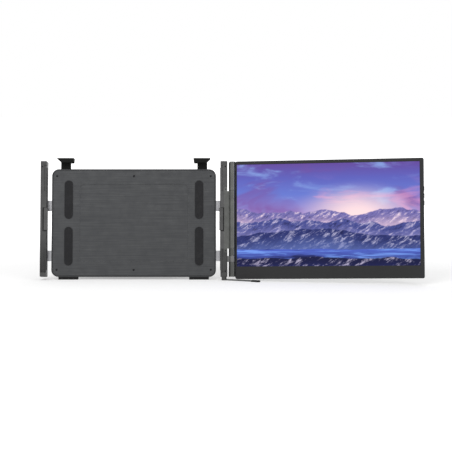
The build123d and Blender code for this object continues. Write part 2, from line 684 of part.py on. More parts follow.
left_column = arm_column(LEFT_IN, LEFT_WIDTH, -1)
finish(left_column, "left_column")
left_top_cap = arm_cap(LEFT_IN, LEFT_WIDTH, -1, COLUMN_HIGH, ARM_TOP, -CAP_TENON)
finish(left_top_cap, "left_top_cap")
left_bottom_cap = arm_cap(LEFT_IN, LEFT_WIDTH, -1, ARM_BOTTOM, COLUMN_LOW, CAP_TENON)
finish(left_bottom_cap, "left_bottom_cap")
left_lip = arm_lip(LEFT_IN, -1)
finish(left_lip, "left_lip")
left_liner = arm_liner(LEFT_IN, -1)
finish(left_liner, "left_liner")
left_rails = arm_rails(LEFT_IN, -1)
finish(left_rails, "left_rails")
left_arm_screws = arm_screws(LEFT_IN, LEFT_WIDTH, -1)
finish(left_arm_screws, "left_arm_screws")

# The right column also carries the display's hinge, let into its front face
LEAF_MID = (LEAF_IN + RIGHT_OUT) / 2
LEAF_SCREWS = [(LEAF_MID, LEAF_LOW + LEAF_SCREW_INSET), (LEAF_MID, LEAF_HIGH - LEAF_SCREW_INSET)]

with BuildPart() as right_column:
    add(arm_column(RIGHT_IN, RIGHT_WIDTH, 1).part)
    with BuildSketch(front_view(0)):
        with Locations((LEAF_MID + EDGE_ROUND / 2, (LEAF_LOW + LEAF_HIGH) / 2)):
            Rectangle(RIGHT_OUT - LEAF_IN + EDGE_ROUND, LEAF_HIGH - LEAF_LOW)
    extrude(amount=-LEAF_THICK, mode=Mode.SUBTRACT)
    with BuildSketch(front_view(LEAF_THICK)):
        with Locations(*LEAF_SCREWS):
            Circle(SCREW_SHANK)
    extrude(amount=-LEAF_THICK, mode=Mode.SUBTRACT)
finish(right_column, "right_column")
right_top_cap = arm_cap(RIGHT_IN, RIGHT_WIDTH, 1, COLUMN_HIGH, ARM_TOP, -CAP_TENON)
finish(right_top_cap, "right_top_cap")

with BuildPart() as right_bottom_cap:
    add(arm_cap(RIGHT_IN, RIGHT_WIDTH, 1, ARM_BOTTOM, COLUMN_LOW, CAP_TENON).part)
    # boss that the support foot swings on, square to the table
    with BuildSketch(TABLE.offset(FOOT_TOP + PLAY)):
        with Locations((FOOT_PIN_X, FOOT_PIN_Y)):
            Circle(FOOT_HEAD)
    extrude(amount=FOOT_BOSS)
    with BuildSketch(TABLE.offset(FOOT_TOP)):
        with Locations((FOOT_PIN_X, FOOT_PIN_Y)):
            Circle(FOOT_PIN)
    extrude(amount=FOOT_PIN_LENGTH, mode=Mode.SUBTRACT)
finish(right_bottom_cap, "right_bottom_cap")
right_lip = arm_lip(RIGHT_IN, 1)
finish(right_lip, "right_lip")
right_liner = arm_liner(RIGHT_IN, 1)
finish(right_liner, "right_liner")
right_rails = arm_rails(RIGHT_IN, 1)
finish(right_rails, "right_rails")
right_arm_screws = arm_screws(RIGHT_IN, RIGHT_WIDTH, 1)
finish(right_arm_screws, "right_arm_screws")

# ------------------------------------------------------------------ display hinge
with BuildPart() as hinge_barrel:
    with BuildSketch(top_view(BARREL_LOW)):
        Circle(BARREL_RADIUS)
        with Locations((RIGHT_OUT / 2, BARREL_RADIUS / 2)):
            Rectangle(-RIGHT_OUT, BARREL_RADIUS)
    extrude(amount=BARREL_HIGH - BARREL_LOW)
    with BuildSketch(front_view(LEAF_THICK)):
        with Locations((LEAF_MID, (LEAF_LOW + LEAF_HIGH) / 2)):
            RectangleRounded(RIGHT_OUT - LEAF_IN, LEAF_HIGH - LEAF_LOW, LEAF_CORNER)
    extrude(amount=LEAF_THICK)
    for face, way in ((BARREL_LOW, 1), (BARREL_HIGH, -1)):
        with BuildSketch(top_view(face)):
            Circle(WASHER_RADIUS + FIT / 2)
        extrude(amount=way * (WASHER_DEPTH + FIT), mode=Mode.SUBTRACT)
        with BuildSketch(top_view(face)):
            Circle(SHAFT_RADIUS + SHAFT_PLAY)
        extrude(amount=way * (SHAFT_GRIP + END_PLAY), mode=Mode.SUBTRACT)
    with BuildSketch(front_view(0)):
        with Locations(*LEAF_SCREWS):
            Circle(SCREW_SHANK)
    extrude(amount=-LEAF_THICK, mode=Mode.SUBTRACT)
finish(hinge_barrel, "hinge_barrel")

with BuildPart() as friction_washers:
    for face, way in ((BARREL_LOW, 1), (BARREL_HIGH, -1)):
        for turn in range(WASHERS):
            with BuildSketch(top_view(face + way * turn * (WASHER_THICK + WASHER_GAP))):
                Circle(WASHER_RADIUS)
                Circle(SHAFT_RADIUS + SHAFT_PLAY, mode=Mode.SUBTRACT)
            extrude(amount=way * WASHER_THICK)
finish(friction_washers, "friction_washers")

with BuildPart() as hinge_lug:
    with BuildSketch(top_view(LUG_LOW)):
        Circle(BARREL_RADIUS)
        with Locations((RIGHT_OUT / 2, BARREL_RADIUS / 2)):
            Rectangle(-RIGHT_OUT, BARREL_RADIUS)
        Circle(SHAFT_RADIUS + SHAFT_PLAY, mode=Mode.SUBTRACT)
    extrude(amount=LUG_HIGH - LUG_LOW)
finish(hinge_lug, "hinge_lug")

with BuildPart() as leaf_screws:
    with BuildSketch(front_view(0)):
        with Locations(*LEAF_SCREWS):
            Circle(SCREW_SHANK)
    extrude(amount=-2 * LEAF_THICK)
finish(leaf_screws, "leaf_screws")

# -------------------------------------------------------------------------- hooks
def hook(side):
    """Hook over the lid's top edge, on a stem that slides in the housing."""
    x = hook_x(side)
    half = HOOK_WIDTH / 2
    with BuildPart() as body:
        with BuildSketch(front_view(RAIL_BACK)):
            with BuildLine():
                Polyline(
                    (x - side * half, HOOK_TOP),
                    (x + side * half, HOOK_TOP),
                    (x + side * (half - HOOK_OUT_SLANT), LID_HEIGHT - HOOK_LIP),
                    (x - side * (half - HOOK_IN_SLANT), LID_HEIGHT - HOOK_LIP),
                    close=True,
                )
            make_face()
        extrude(amount=RAIL_BACK)
        fillet(body.edges().filter_by(Axis.Y), HOOK_CORNER)
        fillet(body.faces().sort_by(Axis.Y)[0].edges(), HOOK_ROUND)
        with BuildSketch(side_view(x)):
            with BuildLine():
                Polyline(
                    (LIP_THICK, HOOK_UNDER),
                    (RAIL_FRONT, HOOK_UNDER),
                    (RAIL_FRONT, LID_HEIGHT - 2 * HOOK_LIP),
                    (LIP_THICK, LID_HEIGHT - 2 * HOOK_LIP),
                    close=True,
                )
            make_face()
        extrude(amount=HOOK_WIDTH, both=True, mode=Mode.SUBTRACT)
        # stem, slotted for the guide post in the housing
        with BuildSketch(front_view(RAIL_BACK)):
            with Locations((x, (STEM_LOW + HOOK_UNDER) / 2)):
                Rectangle(STEM_WIDTH, HOOK_UNDER - STEM_LOW)
            with Locations((x, (STEM_SLOT_LOW + STEM_SLOT_HIGH) / 2)):
                SlotOverall(
                    STEM_SLOT_HIGH - STEM_SLOT_LOW,
                    2 * (POST_RADIUS + POST_PLAY),
                    rotation=90,
                    mode=Mode.SUBTRACT,
                )
        extrude(amount=RAIL_THICK)
    return body


def hook_pad(side):
    """Rubber under the hook, where it sits on the lid's edge."""
    x = hook_x(side)
    with BuildPart() as pad:
        with BuildSketch(top_view(LID_HEIGHT)):
            with Locations((x - side * HOOK_PAD_SHIFT, (LIP_THICK + RAIL_FRONT) / 2)):
                RectangleRounded(
                    HOOK_PAD_WIDTH, RAIL_FRONT - LIP_THICK - 2 * HOOK_PAD_EDGE, LIP_CORNER
                )
        extrude(amount=HOOK_PAD)
    return pad


for name, side in SIDES.items():
    finish(hook(side), f"{name}_hook")
    finish(hook_pad(side), f"{name}_hook_pad")

# ---------------------------------------------------------------------- kickstand
NOTCH_HEIGHT = LUG_SEAT + STAND_PLAY

with BuildPart() as kickstand_plate:
    with BuildSketch(front_view(HOUSING_BACK)):
        stand_outline(0, STAND_Z - STAND_PLAY)
    extrude(amount=STAND_THICK)
    fillet(kickstand_plate.edges().filter_by(Axis.Y).sort_by(Axis.Z)[-2:], STAND_CORNER)
    # shallow pressed field
    with BuildSketch(front_view(HOUSING_BACK)) as field:
        stand_outline(-STAND_FIELD, STAND_Z - STAND_FIELD_TOP)
        with Locations((MIDDLE, HOUSING_LOW + STAND_FIELD_LOW)):
            Rectangle(2 * STAND_BOTTOM, 2 * STAND_BOTTOM, align=(Align.CENTER, Align.MAX),
                      mode=Mode.SUBTRACT)
        fillet(field.vertices(), STAND_CORNER)
    extrude(amount=FIELD_DEPTH, mode=Mode.SUBTRACT)
    # notches round the housing's lugs, then the knuckles between them
    with BuildSketch(front_view(HOUSING_BACK)):
        with Locations(*[(x, STAND_Z) for x in KNUCKLES]):
            Rectangle(KNUCKLE_SPAN + 2 * STAND_PLAY, 2 * NOTCH_HEIGHT)
    extrude(amount=STAND_THICK, mode=Mode.SUBTRACT)
    for x in KNUCKLES:
        with BuildSketch(side_view(x)):
            with Locations((STAND_Y, STAND_Z)):
                Circle(KNUCKLE_RADIUS)
            with Locations((HOUSING_BACK - STAND_THICK / 2, STAND_Z - NOTCH_HEIGHT / 2)):
                Rectangle(STAND_THICK, NOTCH_HEIGHT + STAND_PLAY)
            with Locations((STAND_Y, STAND_Z)):
                Circle(STAND_PIN + SHAFT_PLAY, mode=Mode.SUBTRACT)
        extrude(amount=KNUCKLE_LENGTH / 2 - PLAY, both=True)
    # the strip of rubber takes over near the table
    split(bisect_by=TABLE_FOR_STAND.offset(STAND_FOOT), keep=Keep.TOP)
finish(kickstand_plate, "kickstand_plate", OPENED)

with BuildPart() as kickstand_foot:
    with BuildSketch(front_view(HOUSING_BACK)):
        stand_outline(0, STAND_Z - STAND_PLAY)
    extrude(amount=STAND_THICK)
    split(bisect_by=TABLE_FOR_STAND.offset(STAND_FOOT), keep=Keep.BOTTOM)
    split(bisect_by=TABLE_FOR_STAND, keep=Keep.TOP)
finish(kickstand_foot, "kickstand_foot", OPENED)

with BuildPart() as kickstand_pins:
    for x in KNUCKLES:
        with BuildSketch(side_view(x)):
            with Locations((STAND_Y, STAND_Z)):
                Circle(STAND_PIN)
        extrude(amount=KNUCKLE_SPAN / 2 - PLAY, both=True)
finish(kickstand_pins, "kickstand_pins")

# ------------------------------------------------------------------- support foot
# Slim lever on the table: its plane is level, so it is drawn on the table's plane
FOOT_ENDS = ((FOOT_PIN_X, FOOT_PIN_Y), (FOOT_TIP_X, FOOT_TIP_Y))


def foot_blade(height, width, head):
    """Outline of the lever on a level plane: a straight blade with a round head at each end."""
    with BuildSketch(TABLE.offset(height)) as blade:
        with BuildLine():
            Line(*FOOT_ENDS)
        trace(line_width=width)
        with Locations(*FOOT_ENDS):
            Circle(head)
    return blade.sketch


with BuildPart() as support_foot:
    extrude(foot_blade(FOOT_PAD, FOOT_WIDTH, FOOT_HEAD), amount=FOOT_THICK)
    with BuildSketch(TABLE.offset(FOOT_PAD)):
        with Locations(FOOT_ENDS[0]):
            Circle(FOOT_PIN + SHAFT_PLAY)
    extrude(amount=FOOT_THICK, mode=Mode.SUBTRACT)
finish(support_foot, "support_foot")

with BuildPart() as foot_boot:
    # rubber boot round the tip
    boot_top = FOOT_TOP + BOOT_WALL
    extrude(foot_blade(0, FOOT_WIDTH + 2 * BOOT_WALL, FOOT_HEAD + BOOT_WALL), amount=boot_top)
    with BuildSketch(TABLE):
        with Locations(FOOT_ENDS[1]):
            Circle(BOOT_LENGTH)
    extrude(amount=boot_top, mode=Mode.INTERSECT)
    fillet(foot_boot.faces().sort_by(Axis(TABLE.origin, TABLE.z_dir))[-1].edges(), HOOK_ROUND)
    extrude(
        foot_blade(FOOT_PAD, FOOT_WIDTH, FOOT_HEAD), amount=FOOT_THICK, mode=Mode.SUBTRACT
    )
finish(foot_boot, "foot_boot")

with BuildPart() as foot_pad:
    # rubber ring under the pin's end
    with BuildSketch(TABLE):
        with Locations(FOOT_ENDS[0]):
            Circle(FOOT_HEAD)
            Circle(FOOT_PIN_HEAD + PLAY, mode=Mode.SUBTRACT)
    extrude(amount=FOOT_PAD)
finish(foot_pad, "foot_pad")

with BuildPart() as foot_pin:
    with BuildSketch(TABLE.offset(FOOT_PAD / 4)):
        with Locations(FOOT_ENDS[0]):
            Circle(FOOT_PIN_HEAD)
    extrude(amount=FOOT_PAD / 2)
    with BuildSketch(TABLE.offset(FOOT_PAD / 4)):
        with Locations(FOOT_ENDS[0]):
            Circle(FOOT_PIN)
    extrude(amount=FOOT_PIN_LENGTH)
finish(foot_pin, "foot_pin")


# ------------------------------------------------------------------------ display
def display_outline(inset):
    """The display's outline, smaller by the inset all round."""
    with Locations((DISPLAY_MID, DISPLAY_HEIGHT / 2)):
        RectangleRounded(
            DISPLAY_WIDTH - 2 * inset,
            DISPLAY_HEIGHT - 2 * inset,
            DISPLAY_CORNER - inset,
        )


def picture_outline(margin_x, margin_z):
    """The visible picture's rectangle, grown by the margins."""
    with Locations((PICTURE_X, PICTURE_Z)):
        Rectangle(PANEL_WIDTH + 2 * margin_x, PANEL_HEIGHT + 2 * margin_z)


SLEEVES = {
    "lower": (SLEEVE_LOW, BARREL_LOW - END_PLAY),
    "upper": (BARREL_HIGH + END_PLAY, SLEEVE_HIGH),
}
# the leaves stay inside the display's top and bottom walls
LEAVES = {
    "lower": SLEEVES["lower"],
    "upper": (BARREL_HIGH + END_PLAY, DISPLAY_HEIGHT - SLEEVE_LOW),
}
FIRST_SCREW = LEAF_END + 2 * BOSS_RADIUS
SCREW_PITCH = (DISPLAY_END - SCREW_INSET - FIRST_SCREW) / (SCREW_COLUMNS - 1)
LOW_SCREWS = [(FIRST_SCREW + turn * SCREW_PITCH, SCREW_ROW_LOW) for turn in range(SCREW_COLUMNS)]
HIGH_SCREWS = [(x, SCREW_ROW_HIGH) for x, z in LOW_SCREWS]
DISPLAY_SCREWS = LOW_SCREWS + HIGH_SCREWS
SPEAKER_SPOTS = [
    (DISPLAY_START + GRILLE_INSET, SCREW_ROW_LOW),
    (DISPLAY_END - GRILLE_INSET, SCREW_ROW_LOW),
]
SIDE_PORTS = [(level, USB_WIDTH, USB_HEIGHT) for level in USB_LEVELS]
SIDE_PORTS.append((HDMI_LEVEL, HDMI_WIDTH, USB_HEIGHT))
BUTTON_LEVELS = (*MENU_LEVELS, POWER_LEVEL)


def cut_side_openings():
    """Openings in the display's right side wall for the ports and the buttons."""
    with BuildSketch(side_view(DISPLAY_END - FRAME_WALL)) as openings:
        for level, width, height in SIDE_PORTS:
            with Locations((PORT_Y, level)):
                SlotOverall(width + 2 * FIT, height + 2 * FIT, rotation=90)
        for level in BUTTON_LEVELS:
            with Locations((PORT_Y, level)):
                SlotOverall(
                    BUTTON_LENGTH + 2 * BUTTON_PLAY, BUTTON_THICK + 2 * BUTTON_PLAY, rotation=90
                )
    extrude(openings.sketch, amount=FRAME_WALL, mode=Mode.SUBTRACT)


with BuildPart() as display_frame:
    with BuildSketch(front_view(COVER_FRONT)):
        display_outline(0)
        with Locations((DISPLAY_MID, DISPLAY_HEIGHT / 2)):
            Rectangle(
                DISPLAY_WIDTH - 2 * FRAME_WALL, DISPLAY_HEIGHT - 2 * FRAME_WALL, mode=Mode.SUBTRACT
            )
    extrude(amount=COVER_FRONT - DISPLAY_FACE)
    front_rim = display_frame.faces().sort_by(Axis.Y)[0].outer_wire().edges()
    chamfer(front_rim, FRONT_CHAMFER)
    with BuildSketch(front_view(DISPLAY_FACE)):
        display_outline(RIM)
    extrude(amount=-BEZEL_THICK, mode=Mode.SUBTRACT)
    # shelf across the bottom, which takes the cover's lower screws
    with BuildSketch(front_view(TRAY_BACK)):
        with Locations((DISPLAY_MID, FRAME_WALL + SHELF_HEIGHT / 2)):
            Rectangle(DISPLAY_WIDTH - 2 * FRAME_WALL, SHELF_HEIGHT)
        with Locations(*LOW_SCREWS):
            Circle(SCREW_SHANK, mode=Mode.SUBTRACT)
    extrude(amount=SHELF_THICK)
finish(display_frame, "display_frame", SWUNG)

with BuildPart() as display_bezel:
    with BuildSketch(front_view(DISPLAY_FACE + BEZEL_THICK)):
        display_outline(RIM + FIT / 2)
    extrude(amount=BEZEL_THICK)
    with BuildSketch(front_view(DISPLAY_FACE)):
        picture_outline(0, 0)
    extrude(amount=-BEZEL_THICK, mode=Mode.SUBTRACT)
    chamfer(display_bezel.faces().sort_by(Axis.Y)[0].inner_wires()[0].edges(), PICTURE_CHAMFER)
finish(display_bezel, "display_bezel", SWUNG)

with BuildPart() as lcd_glass:
    with BuildSketch(front_view(GLASS_BACK)):
        picture_outline(GLASS_MARGIN_X, GLASS_MARGIN_Y)
    extrude(amount=GLASS_THICK)
finish(lcd_glass, "lcd_glass", SWUNG)

with BuildPart() as backlight:
    with BuildSketch(front_view(BACKLIGHT_BACK)):
        picture_outline(GLASS_MARGIN_X, GLASS_MARGIN_Y)
    extrude(amount=BACKLIGHT_THICK)
finish(backlight, "backlight", SWUNG)

with BuildPart() as panel_tray:
    with BuildSketch(front_view(TRAY_BACK)):
        picture_outline(GLASS_MARGIN_X, GLASS_MARGIN_Y)
        with Locations(*HIGH_SCREWS):
            Circle(SCREW_SHANK, mode=Mode.SUBTRACT)
    extrude(amount=TRAY_THICK)
finish(panel_tray, "panel_tray", SWUNG)

with BuildPart() as rear_cover:
    with BuildSketch(front_view(DISPLAY_BACK)):
        display_outline(0)
    extrude(amount=COVER_DEPTH)
    fillet(rear_cover.faces().sort_by(Axis.Y)[-1].edges(), DISPLAY_ROUND)
    with BuildSketch(front_view(COVER_FRONT)):
        with Locations((DISPLAY_MID, DISPLAY_HEIGHT / 2)):
            Rectangle(DISPLAY_WIDTH - 2 * FRAME_WALL, DISPLAY_HEIGHT - 2 * FRAME_WALL)
    extrude(amount=-(COVER_DEPTH - COVER_WALL), mode=Mode.SUBTRACT)
    with BuildSketch(front_view(COVER_INSIDE)):
        with Locations(*DISPLAY_SCREWS):
            Circle(BOSS_RADIUS)
    extrude(amount=COVER_INSIDE - TRAY_BACK - FIT)
    with BuildSketch(front_view(DISPLAY_BACK)):
        with Locations(*DISPLAY_SCREWS):
            Circle(SCREW_HEAD + FIT)
    extrude(amount=HEAD_DEPTH + FIT, mode=Mode.SUBTRACT)
    with BuildSketch(front_view(DISPLAY_BACK)):
        with Locations(*DISPLAY_SCREWS):
            Circle(SCREW_SHANK + FIT)
    extrude(amount=DISPLAY_BACK - TRAY_BACK, mode=Mode.SUBTRACT)
    # notches for the hinge leaves
    with BuildSketch(side_view(DISPLAY_START)):
        for low, high in LEAVES.values():
            with Locations(((LEAF_FRONT + COVER_INSIDE) / 2 - FIT / 2, (low + high) / 2)):
                Rectangle(LEAF_THICK + 2 * FIT, high - low + 2 * FIT)
    extrude(amount=FRAME_WALL, mode=Mode.SUBTRACT)
    # back wall carried on behind the whole hinge, almost to the arm
    with BuildSketch(top_view(SLEEVE_LOW)) as section:
        with Locations((DISPLAY_START + FRAME_WALL, DISPLAY_BACK)):
            Rectangle(
                COVER_REACH + DISPLAY_START + FRAME_WALL, COVER_WALL, align=(Align.MAX, Align.MAX)
            )
        fillet(section.vertices().group_by(Axis.X)[0], COVER_EDGE)
    extrude(amount=SLEEVE_HIGH - SLEEVE_LOW)
    # grilles over the speakers
    with BuildSketch(front_view(DISPLAY_BACK)):
        with Locations(*SPEAKER_SPOTS):
            with GridLocations(GRILLE_PITCH, 0, GRILLE_SLOTS, 1):
                SlotOverall(GRILLE_LENGTH, GRILLE_WIDTH, rotation=90)
    extrude(amount=COVER_WALL, mode=Mode.SUBTRACT)
    cut_side_openings()
finish(rear_cover, "rear_cover", SWUNG)

with BuildPart() as display_screws:
    with BuildSketch(front_view(DISPLAY_BACK - FIT)):
        with Locations(*DISPLAY_SCREWS):
            Circle(SCREW_HEAD)
    extrude(amount=HEAD_DEPTH)
    with BuildSketch(front_view(DISPLAY_BACK - FIT)):
        with Locations(*DISPLAY_SCREWS):
            Circle(SCREW_SHANK)
    extrude(amount=DISPLAY_BACK - FIT - BACKLIGHT_BACK)
finish(display_screws, "display_screws", SWUNG)

for name, (low, high) in SLEEVES.items():
    with BuildPart() as hinge_leaf:
        with BuildSketch(top_view(low)):
            Circle(BARREL_RADIUS)
            with BuildLine():
                Polyline(
                    (0, 0),
                    (WEB_EDGE, 0),
                    (WEB_EDGE, LEAF_BACK),
                    (BARREL_RADIUS / 2, LEAF_BACK),
                    (0, BARREL_RADIUS),
                    close=True,
                )
            make_face()
            Circle(SHAFT_RADIUS, mode=Mode.SUBTRACT)
        extrude(amount=high - low)
        leaf_low, leaf_high = LEAVES[name]
        with BuildSketch(top_view(leaf_low)):
            with Locations(((WEB_EDGE + LEAF_END) / 2, (LEAF_FRONT + LEAF_BACK) / 2)):
                Rectangle(LEAF_END - WEB_EDGE, LEAF_THICK)
        extrude(amount=leaf_high - leaf_low)
        if name == "lower":
            # gap for the arm's lug
            with BuildSketch(top_view(LUG_LOW - END_PLAY)):
                Circle(BARREL_RADIUS + PLAY)
            extrude(amount=LUG_HIGH - LUG_LOW + 2 * END_PLAY, mode=Mode.SUBTRACT)
    finish(hinge_leaf, f"{name}_hinge_leaf", SWUNG)

SHAFT_SPANS = {
    "lower": (SLEEVE_LOW + SHAFT_INSET, BARREL_LOW + SHAFT_GRIP),
    "upper": (BARREL_HIGH - SHAFT_GRIP, SLEEVE_HIGH - SHAFT_INSET),
}
for name, (low, high) in SHAFT_SPANS.items():
    with BuildPart() as hinge_shaft:
        with BuildSketch(top_view(low)):
            Circle(SHAFT_RADIUS)
        extrude(amount=high - low)
    finish(hinge_shaft, f"{name}_hinge_shaft", SWUNG)

# ------------------------------------------------------------- inside the display
PORT_IN = DISPLAY_END - PORT_DEPTH
BOARD_X = DISPLAY_END - FRAME_WALL - PLAY - BOARD_WIDTH / 2

with BuildPart() as driver_board:
    with BuildSketch(front_view(BOARD_BACK)):
        with Locations((BOARD_X, (BOARD_LOW + BOARD_HIGH) / 2)):
            RectangleRounded(BOARD_WIDTH, BOARD_HIGH - BOARD_LOW, BOARD_CORNER)
    extrude(amount=BOARD_BACK - BOARD_FRONT)
    with BuildSketch(front_view(BOARD_BACK)):
        for inset, level, width, height in CHIPS:
            with Locations((DISPLAY_END - inset, level)):
                Rectangle(width, height)
    extrude(amount=-CHIP_THICK)
finish(driver_board, "driver_board", SWUNG)


def port_shell(width, height, level):
    """Metal shell of a socket, open at the display's side, with its tongue inside."""
    with BuildSketch(side_view(PORT_IN)) as shell:
        with Locations((PORT_Y, level)):
            SlotOverall(width, height, rotation=90)
    extrude(shell.sketch, amount=PORT_DEPTH - FIT)
    with BuildSketch(side_view(PORT_IN + 2 * PORT_WALL)) as hollow:
        with Locations((PORT_Y, level)):
            SlotOverall(width - 2 * PORT_WALL, height - 2 * PORT_WALL, rotation=90)
            Rectangle(TONGUE_THICK, width - 2 * TONGUE_EDGE, mode=Mode.SUBTRACT)
    extrude(hollow.sketch, amount=PORT_DEPTH, mode=Mode.SUBTRACT)


with BuildPart() as usb_ports:
    for level in USB_LEVELS:
        port_shell(USB_WIDTH, USB_HEIGHT, level)
finish(usb_ports, "usb_ports", SWUNG)

with BuildPart() as hdmi_port:
    port_shell(HDMI_WIDTH, USB_HEIGHT, HDMI_LEVEL)
finish(hdmi_port, "hdmi_port", SWUNG)

with BuildPart() as speakers:
    with BuildSketch(front_view(COVER_INSIDE - FIT)):
        with Locations(*SPEAKER_SPOTS):
            RectangleRounded(SPEAKER_LENGTH, SPEAKER_HEIGHT, BOARD_CORNER)
    extrude(amount=COVER_INSIDE - FIT - BOARD_FRONT)
finish(speakers, "speakers", SWUNG)

with BuildPart() as panel_flex:
    with BuildSketch(front_view(BOARD_FRONT)):
        with Locations((DISPLAY_END - FLEX_OFFSET, BOARD_LOW)):
            Rectangle(FLEX_WIDTH, FLEX_HEIGHT)
    extrude(amount=BOARD_FRONT - TRAY_BACK)
finish(panel_flex, "panel_flex", SWUNG)

with BuildPart() as button_board:
    with BuildSketch(front_view(BOARD_BACK)):
        with Locations((SWITCH_END - BUTTON_BOARD_WIDTH / 2, (MENU_LEVELS[0] + POWER_LEVEL) / 2)):
            Rectangle(
                BUTTON_BOARD_WIDTH, POWER_LEVEL - MENU_LEVELS[0] + 2 * BUTTON_BOARD_MARGIN
            )
    extrude(amount=BOARD_BACK - BOARD_FRONT)
    with BuildSketch(front_view(BOARD_BACK)):
        with Locations(*[(SWITCH_END - SWITCH_SIZE / 2, level) for level in BUTTON_LEVELS]):
            Rectangle(SWITCH_SIZE, SWITCH_SIZE)
    extrude(amount=-SWITCH_HEIGHT)
finish(button_board, "button_board", SWUNG)


def side_button(level):
    """Push button in the display's side, with a flange that keeps it in."""
    with BuildPart() as button:
        with BuildSketch(side_view(BUTTON_IN)):
            with Locations((PORT_Y, level)):
                SlotOverall(BUTTON_LENGTH, BUTTON_THICK, rotation=90)
        extrude(amount=DISPLAY_END + BUTTON_PROUD - BUTTON_IN)
        fillet(button.faces().sort_by(Axis.X)[-1].edges(), BUTTON_ROUND)
        with BuildSketch(side_view(BUTTON_IN)):
            with Locations((PORT_Y, level)):
                SlotOverall(BUTTON_LENGTH + 2 * FLANGE_GROW, BUTTON_THICK, rotation=90)
        extrude(amount=-FLANGE_THICK)
    return button


finish(side_button(POWER_LEVEL), "power_button", SWUNG)
finish(side_button(MENU_LEVELS[0]), "menu_button_lower", SWUNG)
finish(side_button(MENU_LEVELS[1]), "menu_button_upper", SWUNG)

# ---------------------------------------------- set in place, and one file a piece
for piece, moves in PIECES:
    for move in moves:
        piece.part.move(move)
    piece.part.location = LEANING * piece.part.location

boxes = [piece.part.bounding_box() for piece, moves in PIECES]
middle_x = (min(box.min.X for box in boxes) + max(box.max.X for box in boxes)) / 2
middle_y = (min(box.min.Y for box in boxes) + max(box.max.Y for box in boxes)) / 2
CENTRING = Location((-middle_x, -middle_y, 0))

os.makedirs("parts", exist_ok=True)
for piece, moves in PIECES:
    piece.part.location = CENTRING * piece.part.location
    export_step(piece.part, f"parts/{piece.part.label}.step")
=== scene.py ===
"""Looks of the laptop screen extender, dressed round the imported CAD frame. Metres."""
import json
import math

import bmesh
import bpy
from mathutils import Matrix, Vector
from mathutils.geometry import tessellate_polygon


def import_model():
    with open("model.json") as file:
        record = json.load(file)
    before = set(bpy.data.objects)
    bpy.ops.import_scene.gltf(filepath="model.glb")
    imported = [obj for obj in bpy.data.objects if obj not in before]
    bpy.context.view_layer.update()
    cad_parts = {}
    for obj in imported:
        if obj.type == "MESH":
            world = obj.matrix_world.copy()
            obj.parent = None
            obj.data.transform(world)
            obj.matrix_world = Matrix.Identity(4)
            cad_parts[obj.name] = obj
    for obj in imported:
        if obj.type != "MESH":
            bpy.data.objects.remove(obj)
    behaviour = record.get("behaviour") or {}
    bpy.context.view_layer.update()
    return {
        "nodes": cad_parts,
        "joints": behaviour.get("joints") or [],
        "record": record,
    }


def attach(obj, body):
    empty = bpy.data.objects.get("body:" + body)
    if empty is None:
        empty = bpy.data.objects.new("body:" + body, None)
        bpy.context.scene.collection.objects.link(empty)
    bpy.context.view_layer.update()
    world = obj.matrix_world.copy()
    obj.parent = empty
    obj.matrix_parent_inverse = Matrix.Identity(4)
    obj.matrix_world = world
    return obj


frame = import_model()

MM = 0.001

# ------------------------------------------------------------------ camera and studio
IMAGE = 452                 # the photograph's frame, pixels each way
FOCAL_PIXELS = 1285.0
SENSOR = 36.0               # in millimetres, as Blender takes it
CAMERA_AT = (-0.0070, -2.1740, 0.2955)
CAMERA_PITCH = -5.326       # from the horizontal, degrees
CLIP = (0.05, 40.0)

FLOOR_SIZE = 60.0
FLOOR_COLOUR = 0.72
FLOOR_SHADE = 0.98          # its darker patches, as a share of that
FLOOR_PATCHES = (3.0, 2.0, 0.5)     # noise: cells for each metre, detail, roughness
FLOOR_FILL = 0.38           # glow that only seen_rays take
FLOOR_FADE = (0.42, 1.1)    # from the middle, where the floor turns to the backdrop's white
AMBIENT = 0.55              # the world's strength as light; seen_rays find it white
# name, place, watts, side length
LAMPS = (
    ("key_lamp", (-1.3, -1.9, 2.1), 26.0, 1.6),
    ("fill_lamp", (1.9, -1.5, 1.3), 12.0, 1.4),
    ("top_lamp", (0.1, 0.9, 2.4), 12.0, 1.8),
)
AIM = (0.0, 0.0, 0.1)

# ------------------------------------------------------------ directions from the frame
JOINTS = {joint["name"]: joint for joint in frame["joints"]}
UP = Vector(JOINTS["display_hinge"]["axis"]).normalized()           # of bracket and display
ACROSS = -Vector(JOINTS["power_press"]["axis"]).normalized()        # along the display
BACK = UP.cross(ACROSS)
SIDE = Vector((1.0, 0.0, 0.0))                                      # along the bracket
BRACKET_BACK = UP.cross(SIDE)


def axes(across, back, up):
    """Rotation whose own X, Y and Z are these three directions."""
    return Matrix((across, back, up)).transposed()


DISPLAY_TURN = axes(ACROSS, BACK, UP).to_euler()
BRACKET_TURN = axes(SIDE, BRACKET_BACK, UP).to_euler()


def reach(node, direction):
    """Lowest and highest place of a node along a direction."""
    along = [vertex.co.dot(direction) for vertex in frame["nodes"][node].data.vertices]
    return min(along), max(along)


def linear(red, green, blue):
    """Colour as written in an image editor, 0 to 255, for a shader."""
    return tuple(
        c / 12.92 if c <= 0.04045 else ((c + 0.055) / 1.055) ** 2.4
        for c in (red / 255, green / 255, blue / 255)
    ) + (1.0,)


def grey(level):
    return linear(level, level, level)


def lifted(colour, times):
    """Colour made brighter for a rubbed edge."""
    return tuple(times * c for c in colour[:3]) + (1.0,)


